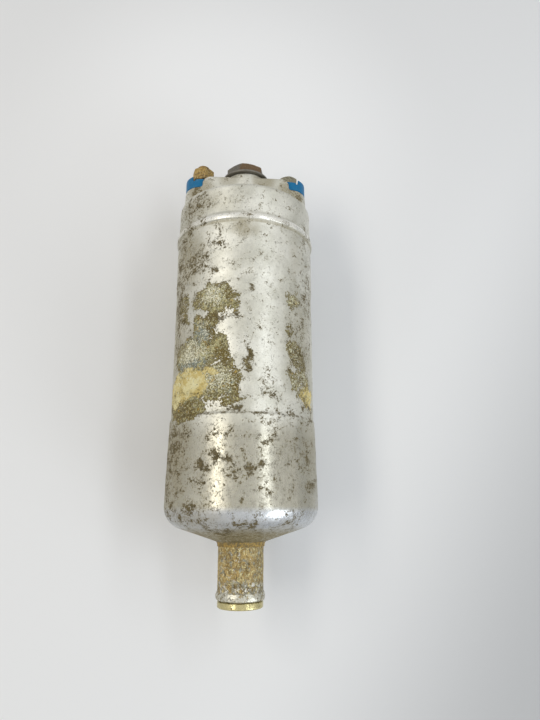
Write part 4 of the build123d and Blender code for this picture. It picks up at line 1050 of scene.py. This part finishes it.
class PUMP_OT_can(bpy.types.Operator):
    """Turn the drawn can with its cone, step, bead and crimped rim, and stain it"""

    bl_idname = "pump.build_can"
    bl_label = "Can"

    def execute(self, context):
        size = sizes()
        plain_r, flare_r = radius(size.can_diameter), radius(size.flare_diameter)
        band_r, bead_r = radius(size.band_diameter), radius(size.bead_diameter)
        step_r, spigot_r = radius(size.step_diameter), radius(size.spigot_diameter)
        bore_r, wall, lip_r = 24.8, 1.2, 24.1
        root, slope, floor_wall = -65.7, 0.33, 2.0
        collar_r, collar_end = spigot_r + 0.35, root - 1.4
        rim_top, bead_low, bead_high, inner_bead_r = 59.8, 44.7, 48.2, bead_r - wall
        ledge_r, ledge, flare_end, step_low, step_high = 23.2, -52.0, -51.0, -24.9, -24.0
        pit_grain = 1.1 * MM

        def cone(at_r, rise=0.0):
            return root + (at_r - spigot_r) * slope + rise

        corners = [
            (spigot_r, collar_end),
            (collar_r, collar_end, 0.17),
            (collar_r, cone(collar_r), 1.3),
            (flare_r, cone(flare_r), 8.0),
            (flare_r, flare_end),
            (step_r, step_low, 0.15),
            (plain_r, step_high),
            (plain_r, 23.2),
            (band_r, 25.6),
            (band_r, bead_low, 0.1),
            (bead_r, bead_low + 0.35, 0.4),
            (bead_r, bead_high - 1.9, 0.9),
            (plain_r, bead_high, 1.2),
            (plain_r, rim_top, 1.9),
            (lip_r, rim_top),
            (lip_r, rim_top - wall),
            (bore_r, rim_top - wall, bore_r - lip_r),
            (bore_r, bead_high - 0.3),
            (inner_bead_r, bead_high - 1.5, 0.5),
            (inner_bead_r, bead_low + 0.9, 0.3),
            (bore_r, bead_low + 0.4),
            (bore_r, ledge),
            (ledge_r, ledge),
            (ledge_r, cone(ledge_r, floor_wall), 5.0),
            (spigot_r, cone(spigot_r, floor_wall)),
        ]
        piece = turned(
            "can", corners, can_material(), 0.62, size.segments, coarse_below=bore_r + 0.1,
            wear_depth=0.12, wear_size=7.0, wear_seed=3.0,
        )
        masks = paint_can(piece.data)
        pitted = np.maximum(masks["crust"], masks["speckle"] * 0.6)
        pit_surface(piece.data, pitted, size.pit_depth, pit_grain)
        stands_for(piece, "housing")
        return {"FINISHED"}


class PUMP_OT_spigot(bpy.types.Operator):
    """Turn the corroded hose spigot, its golden end ring and the woven strainer"""

    bl_idname = "pump.build_spigot"
    bl_label = "Hose spigot and strainer"

    def execute(self, context):
        tube_r, bore_r, end = radius(sizes().spigot_diameter), 5.8, -84.35
        self.tube(tube_r, bore_r, end)
        self.ring(tube_r - 0.05, bore_r, end)
        self.strainer()
        return {"FINISHED"}

    def tube(self, tube_r, bore_r, end):
        bead_r, bead_end = radius(sizes().hose_bead_diameter), end + 3.15
        flange_r, flange_low, flange_high, inner_root = 10.5, -62.84, -61.64, -63.7
        corners = [
            (bore_r, end),
            (tube_r - 0.3, end, 0.15),
            (bead_r - 0.15, end + 0.35, 0.4),
            (bead_r, (end + bead_end) / 2, 1.2),
            (bead_r - 0.25, bead_end - 0.45, 0.5),
            (tube_r, bead_end, 0.3),
            (tube_r, inner_root),
            (flange_r, flange_low),
            (flange_r, flange_high),
            (bore_r, flange_high, 0.6),
        ]
        tube = turned(
            "hose_spigot", corners, spigot_material(), 0.25, 192, coarse_below=bore_r + 0.1,
            wear_depth=0.16, wear_size=1.4, wear_seed=8.0,
        )
        stands_for(tube, "spigot_tube")

    def ring(self, ring_r, bore_r, end):
        tip, hole_r, sleeve_r, sleeve_end = -86.7, 4.9, bore_r - 0.05, -78.0
        corners = [
            (hole_r, tip, 0.3),
            (ring_r, tip, 0.6),
            (ring_r, end - 0.35),
            (ring_r - 0.35, end - 0.05),
            (sleeve_r, end - 0.05),
            (sleeve_r, sleeve_end),
            (hole_r, sleeve_end),
        ]
        brass = corroded_metal(
            "golden_brass", looks().brass, (0.30, 0.21, 0.07), (0.62, 0.56, 0.34),
            metallic=0.9, roughness=0.26, grain=0.8, bump=0.03, amount=0.35,
        )
        wear = {"wear_depth": 0.06, "wear_size": 3.0, "wear_seed": 5.0}
        ring = turned("strainer_ring", corners, brass, 0.4, 128, **wear)
        stands_for(ring, "inlet_strainer_ring")

    def strainer(self):
        wire = machined(
            "strainer_wire", (0.60, 0.45, 0.20), (0.30, 0.20, 0.08), roughness=0.35, stretch=(2.0, 2.0, 2.0)
        )
        mesh = through_nodes(
            [(0.0, 0.0)], strainer_weave(), "strainer_mesh", radius=4.68 * MM, low=-79.2 * MM,
            high=-60.25 * MM, wire_radius=0.11 * MM, rings=30, wires=48, material=wire,
        )
        stands_for(mesh, "inlet_strainer_mesh")


class PUMP_OT_cover(bpy.types.Operator):
    """Recast the die-cast end cover with soft edges, and stain it"""

    bl_idname = "pump.build_cover"
    bl_label = "End cover"

    def execute(self, context):
        cover = recast("cast_end_cover", "end_cover", 0.42, cover_material(), 2)
        paint_spots(cover.data, COVER_STAINS, COVER_EVERYWHERE)
        stands_for(cover, "end_cover")
        return {"FINISHED"}


class PUMP_OT_insulators(bpy.types.Operator):
    """Mould the two blue terminal blocks"""

    bl_idname = "pump.build_insulators"
    bl_label = "Insulators"

    def execute(self, context):
        blue = moulded("blue_moulding", looks().blue, (0.12, 0.26, 0.38), dusting=0.35, grain=1.2)
        for name in ("positive", "negative"):
            block = recast(f"{name}_block", f"{name}_insulator", 0.16, blue, 2)
            stands_for(block, f"{name}_insulator")
        return {"FINISHED"}


Terminal = namedtuple("Terminal", "name x thread_r pitch end washer_t nut_low nut_t flats turn seed material")


class PUMP_OT_terminals(bpy.types.Operator):
    """Cut the threaded studs and make their washers and nuts"""

    bl_idname = "pump.build_terminals"
    bl_label = "Studs, nuts and washers"

    def execute(self, context):
        size, look = sizes(), looks()
        side = radius(size.terminal_spacing)
        ochre_brass = corroded_metal(
            "ochre_brass", look.ochre, (0.15, 0.085, 0.025), (0.64, 0.52, 0.30),
            metallic=0.45, roughness=0.5, grain=1.1, bump=0.22, amount=0.95,
        )
        olive_steel = corroded_metal(
            "olive_plated_steel", look.olive_steel, (0.14, 0.125, 0.08), (0.42, 0.39, 0.29),
            metallic=0.55, roughness=0.5, grain=1.1, bump=0.08, amount=0.6,
        )
        terminals = (
            Terminal(
                "positive", -side, radius(size.positive_thread), pitch=0.8, end=82.3, washer_t=1.0,
                nut_low=75.3, nut_t=5.0, flats=mm(size.positive_flats), turn=15, seed=1.0,
                material=ochre_brass,
            ),
            Terminal(
                "negative", side, radius(size.negative_thread), pitch=0.7, end=79.1, washer_t=0.8,
                nut_low=74.7, nut_t=3.2, flats=mm(size.negative_flats), turn=0, seed=3.0,
                material=olive_steel,
            ),
        )
        for terminal in terminals:
            self.stud(terminal)
            self.nut(terminal)
            self.washer(terminal)
            node = f"{terminal.name}_spring_washer"
            spring = recast(f"{terminal.name}_split_ring", node, 0.13, terminal.material, 1)
            stands_for(spring, node)
        return {"FINISHED"}

    def stud(self, terminal):
        head_r, head_low, head_top, thread_low = 3.4, 55.2, 56.4, 60.0
        corners = [
            (0.0, head_low),
            (head_r, head_low, 0.2),
            (head_r, head_top, 0.2),
            (terminal.thread_r, head_top),
            (terminal.thread_r, terminal.end, 0.6),
            (0.0, terminal.end),
        ]
        stud = turned(
            f"{terminal.name}_threaded_stud", corners, terminal.material, 0.1, 72, x=terminal.x,
            thread_radius=terminal.thread_r, thread_pitch=terminal.pitch, thread_depth=0.61 * terminal.pitch,
            thread_low=thread_low, thread_high=terminal.end + 0.3, wear_depth=0.05, wear_size=0.8,
        )
        stands_for(stud, f"{terminal.name}_stud")

    def nut(self, terminal):
        corner_r, chamfer = hexagon_corner(terminal.flats)
        low, high, thread_r = terminal.nut_low, terminal.nut_low + terminal.nut_t, terminal.thread_r
        face_r = terminal.flats / 2 - 0.05
        corners = [
            (thread_r, low + 0.2),
            (thread_r + 0.2, low),
            (face_r, low, 0.1),
            (corner_r, low + chamfer, 0.2),
            (corner_r, high - chamfer, 0.2),
            (face_r, high, 0.1),
            (thread_r + 0.2, high),
            (thread_r, high - 0.2),
        ]
        nut = turned(
            f"{terminal.name}_worn_nut", corners, terminal.material, 0.12, 144, x=terminal.x,
            across_flats=terminal.flats, corner_turn=math.radians(terminal.turn), corner_softness=0.35,
            wear_depth=0.12, wear_size=1.4, wear_seed=terminal.seed,
        )
        stands_for(nut, f"{terminal.name}_nut")

    def washer(self, terminal):
        washer_r, low, high = 3.55, 73.0, 73.0 + terminal.washer_t
        corners = [
            (terminal.thread_r, low),
            (washer_r, low, 0.15),
            (washer_r, high, 0.2),
            (terminal.thread_r, high),
        ]
        washer = turned(
            f"{terminal.name}_flat_washer", corners, terminal.material, 0.25, x=terminal.x,
            wear_depth=0.06, wear_size=1.2,
        )
        stands_for(washer, f"{terminal.name}_washer")


class PUMP_OT_outlet(bpy.types.Operator):
    """Make the hexagonal outlet fitting with its inner thread, and its washer"""

    bl_idname = "pump.build_outlet"
    bl_label = "Outlet"

    def execute(self, context):
        size = sizes()
        flats, thread_r = mm(size.outlet_flats), radius(size.outlet_thread)
        corner_r, chamfer = hexagon_corner(flats)
        valve_r, shank_r, chamber_r, washer_r = 2.2, 6.0, 4.0, 9.5
        foot, chamber_low, thread_low, washer_low, washer_top, top = 62.5, 66.5, 75.0, 75.6, 76.5, 80.8
        corners = [
            (valve_r, foot),
            (shank_r, foot, 0.3),
            (shank_r, washer_top),
            (corner_r, washer_top, 0.25),
            (corner_r, top - chamfer, 0.5),
            (flats / 2 - 0.1, top, 0.25),
            (thread_r + 0.5, top, 0.1),
            (thread_r, top - 0.5),
            (thread_r, thread_low),
            (chamber_r, thread_low),
            (chamber_r, chamber_low),
            (valve_r, chamber_low),
        ]
        fitting = turned(
            "outlet_hexagon", corners, outlet_material(), 0.16, 180,
            across_flats=flats, corner_turn=math.radians(-11), corner_softness=0.5,
            thread_radius=thread_r, thread_pitch=1.0, thread_depth=-0.5, thread_low=thread_low,
            thread_high=81.0, wear_depth=0.13, wear_size=2.2, wear_seed=6.0,
        )
        paint_spots(fitting.data, OUTLET_STAINS, OUTLET_EVERYWHERE)
        stands_for(fitting, "outlet_fitting")
        corners = [
            (shank_r, washer_low),
            (washer_r, washer_low, 0.3),
            (washer_r, washer_top, 0.3),
            (shank_r, washer_top),
        ]
        washer = turned(
            "crushed_outlet_washer", corners, slot_materials()["outlet_gasket"], 0.2, 144,
            wear_depth=0.08, wear_size=2.0, wear_seed=4.0,
        )
        stands_for(washer, "outlet_washer")
        return {"FINISHED"}


class PUMP_OT_springs(bpy.types.Operator):
    """Build the springs and brush leads from their CAD shapes"""

    bl_idname = "pump.build_springs"
    bl_label = "Springs and leads"

    def execute(self, context):
        materials = slot_materials()
        slots = {subpart["node"]: subpart["material_slot"] for subpart in frame["record"]["subparts"]}
        for joint in frame["record"]["behaviour"]["joints"]:
            for item in joint.get("deforming_nodes", ()):
                node, fixed = item["node"], item["fixed_end_y_m"]
                piece = copied(f"{node}_wire", node)
                smoothed(piece.data, materials[slots[node]])
                stands_for(piece, node)
                whole = np.abs(vertex_array(piece.data, "co")[:, 1] - fixed).max()
                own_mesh(piece)
        return {"FINISHED"}


class PUMP_OT_inner(bpy.types.Operator):
    """Give the pump's inner pieces, whose CAD shape stays, their materials"""

    bl_idname = "pump.finish_inner"
    bl_label = "Inner pieces"

    def execute(self, context):
        materials = slot_materials()
        for subpart in frame["record"]["subparts"]:
            node = frame["nodes"][subpart["node"]]
            if not node.hide_render:
                node.data.materials.clear()
                node.data.materials.append(materials[subpart["material_slot"]])
        return {"FINISHED"}


class PUMP_OT_stage(bpy.types.Operator):
    """Set the floor, the lamps and the camera"""

    bl_idname = "pump.build_stage"
    bl_label = "Stage"

    def execute(self, context):
        stage = context.scene.pump_stage
        self.floor(stage, CAD_BOX[0].z)
        self.world(stage, context.scene)
        self.lamp("left_lamp", stage.left_lamp, (1.0, 0.955, 0.87), (-0.355, 0.02, 0.49), (0.13, 0.60))
        self.lamp("right_lamp", stage.right_lamp, (0.90, 0.95, 1.0), (0.335, 0.06, 0.50), (0.075, 0.60))
        self.lamp("front_lamp", stage.front_lamp, (0.86, 0.93, 1.0), (0.39, -0.35, 0.24), (0.26, 0.26))
        self.camera(stage, context.scene)
        return {"FINISHED"}

    def floor(self, stage, height):
        half = 3.0
        mesh = bpy.data.meshes.new("floor")
        corners = [(-half, -half, height), (half, -half, height), (half, half, height), (-half, half, height)]
        mesh.from_pydata(corners, [], [(0, 1, 2, 3)])
        mesh.materials.append(floor_material(stage.floor_colour, mm(height)))
        floor = placed("floor", mesh)

    def world(self, stage, scene):
        """Light from all round. The camera and glossy faces see the floor's colour instead."""
        world = bpy.data.worlds.new("studio")
        world.use_nodes = True
        world.node_tree.nodes.clear()
        n = Nodes(world.node_tree)
        ray = n.named(n.add("ShaderNodeLightPath"))
        light = n.get("ShaderNodeBackground", {"Color": (0.97, 0.98, 1.0), "Strength": stage.world_strength})
        seen = n.get("ShaderNodeBackground", {"Color": stage.floor_colour, "Strength": 1.0})
        direct = n.most(ray["Is Camera Ray"], ray["Is Transmission Ray"], ray["Is Glossy Ray"])
        mixed = n.get("ShaderNodeMixShader", {0: direct, 1: light, 2: seen})
        n.add("ShaderNodeOutputWorld", {"Surface": mixed})
        scene.world = world

    def lamp(self, name, watts, tint, place, size):
        data = bpy.data.lights.new(name, "AREA")
        data.shape = "RECTANGLE"
        data.size, data.size_y = size
        data.energy = watts
        data.color = tint
        lamp = bpy.data.objects.new(name, data)
        towards = -Vector(place)
        lamp.matrix_world = Matrix.Translation(place) @ towards.to_track_quat("-Z", "X").to_matrix().to_4x4()
        bpy.context.scene.collection.objects.link(lamp)

    def camera(self, stage, scene):
        data = bpy.data.cameras.new("camera")
        data.sensor_fit = "VERTICAL"
        data.sensor_height = 36.0
        data.lens = stage.lens
        data.clip_start = 0.001
        camera = bpy.data.objects.new("camera", data)
        rolled = Matrix.Rotation(-stage.roll, 4, "Y")
        place = Vector((stage.camera_side, stage.camera_along, stage.camera_height))
        camera.matrix_world = rolled @ Matrix.Translation(place) @ Matrix.Rotation(stage.camera_tilt, 4, "X")
        scene.collection.objects.link(camera)
        scene.camera = camera
        scene.view_settings.view_transform = "Standard"


class PUMP_PT_panel(bpy.types.Panel):
    """Sizes, looks and building steps of the fuel pump"""

    bl_idname = "PUMP_PT_panel"
    bl_label = "Fuel Pump"
    bl_space_type = "VIEW_3D"
    bl_region_type = "UI"
    bl_category = "Fuel Pump"

    def draw(self, context):
        for operator in OPERATORS:
            self.layout.operator(operator.bl_idname)
        for title, group in (("Sizes", "pump_sizes"), ("Looks", "pump_looks"), ("Stage", "pump_stage")):
            box = self.layout.box()
            box.label(text=title)
            values = getattr(context.scene, group)
            for name in type(values).__annotations__:
                box.prop(values, name)


GROUPS = (PumpSizes, PumpLooks, PumpStage)
OPERATORS = (
    PUMP_OT_can,
    PUMP_OT_spigot,
    PUMP_OT_cover,
    PUMP_OT_insulators,
    PUMP_OT_terminals,
    PUMP_OT_outlet,
    PUMP_OT_springs,
    PUMP_OT_inner,
    PUMP_OT_stage,
)


def register():
    for made in (*GROUPS, *OPERATORS, PUMP_PT_panel):
        bpy.utils.register_class(made)
    bpy.types.Scene.pump_sizes = PointerProperty(type=PumpSizes)
    bpy.types.Scene.pump_looks = PointerProperty(type=PumpLooks)
    bpy.types.Scene.pump_stage = PointerProperty(type=PumpStage)


def unregister():
    for name in ("pump_sizes", "pump_looks", "pump_stage"):
        delattr(bpy.types.Scene, name)
    for made in reversed((*GROUPS, *OPERATORS, PUMP_PT_panel)):
        bpy.utils.unregister_class(made)


def main():
    register()
    bpy.ops.pump.build_can()
    bpy.ops.pump.build_spigot()
    bpy.ops.pump.build_cover()
    bpy.ops.pump.build_insulators()
    bpy.ops.pump.build_terminals()
    bpy.ops.pump.build_outlet()
    bpy.ops.pump.build_springs()
    bpy.ops.pump.finish_inner()
    bpy.ops.pump.build_stage()


if __name__ == "__main__":
    main()
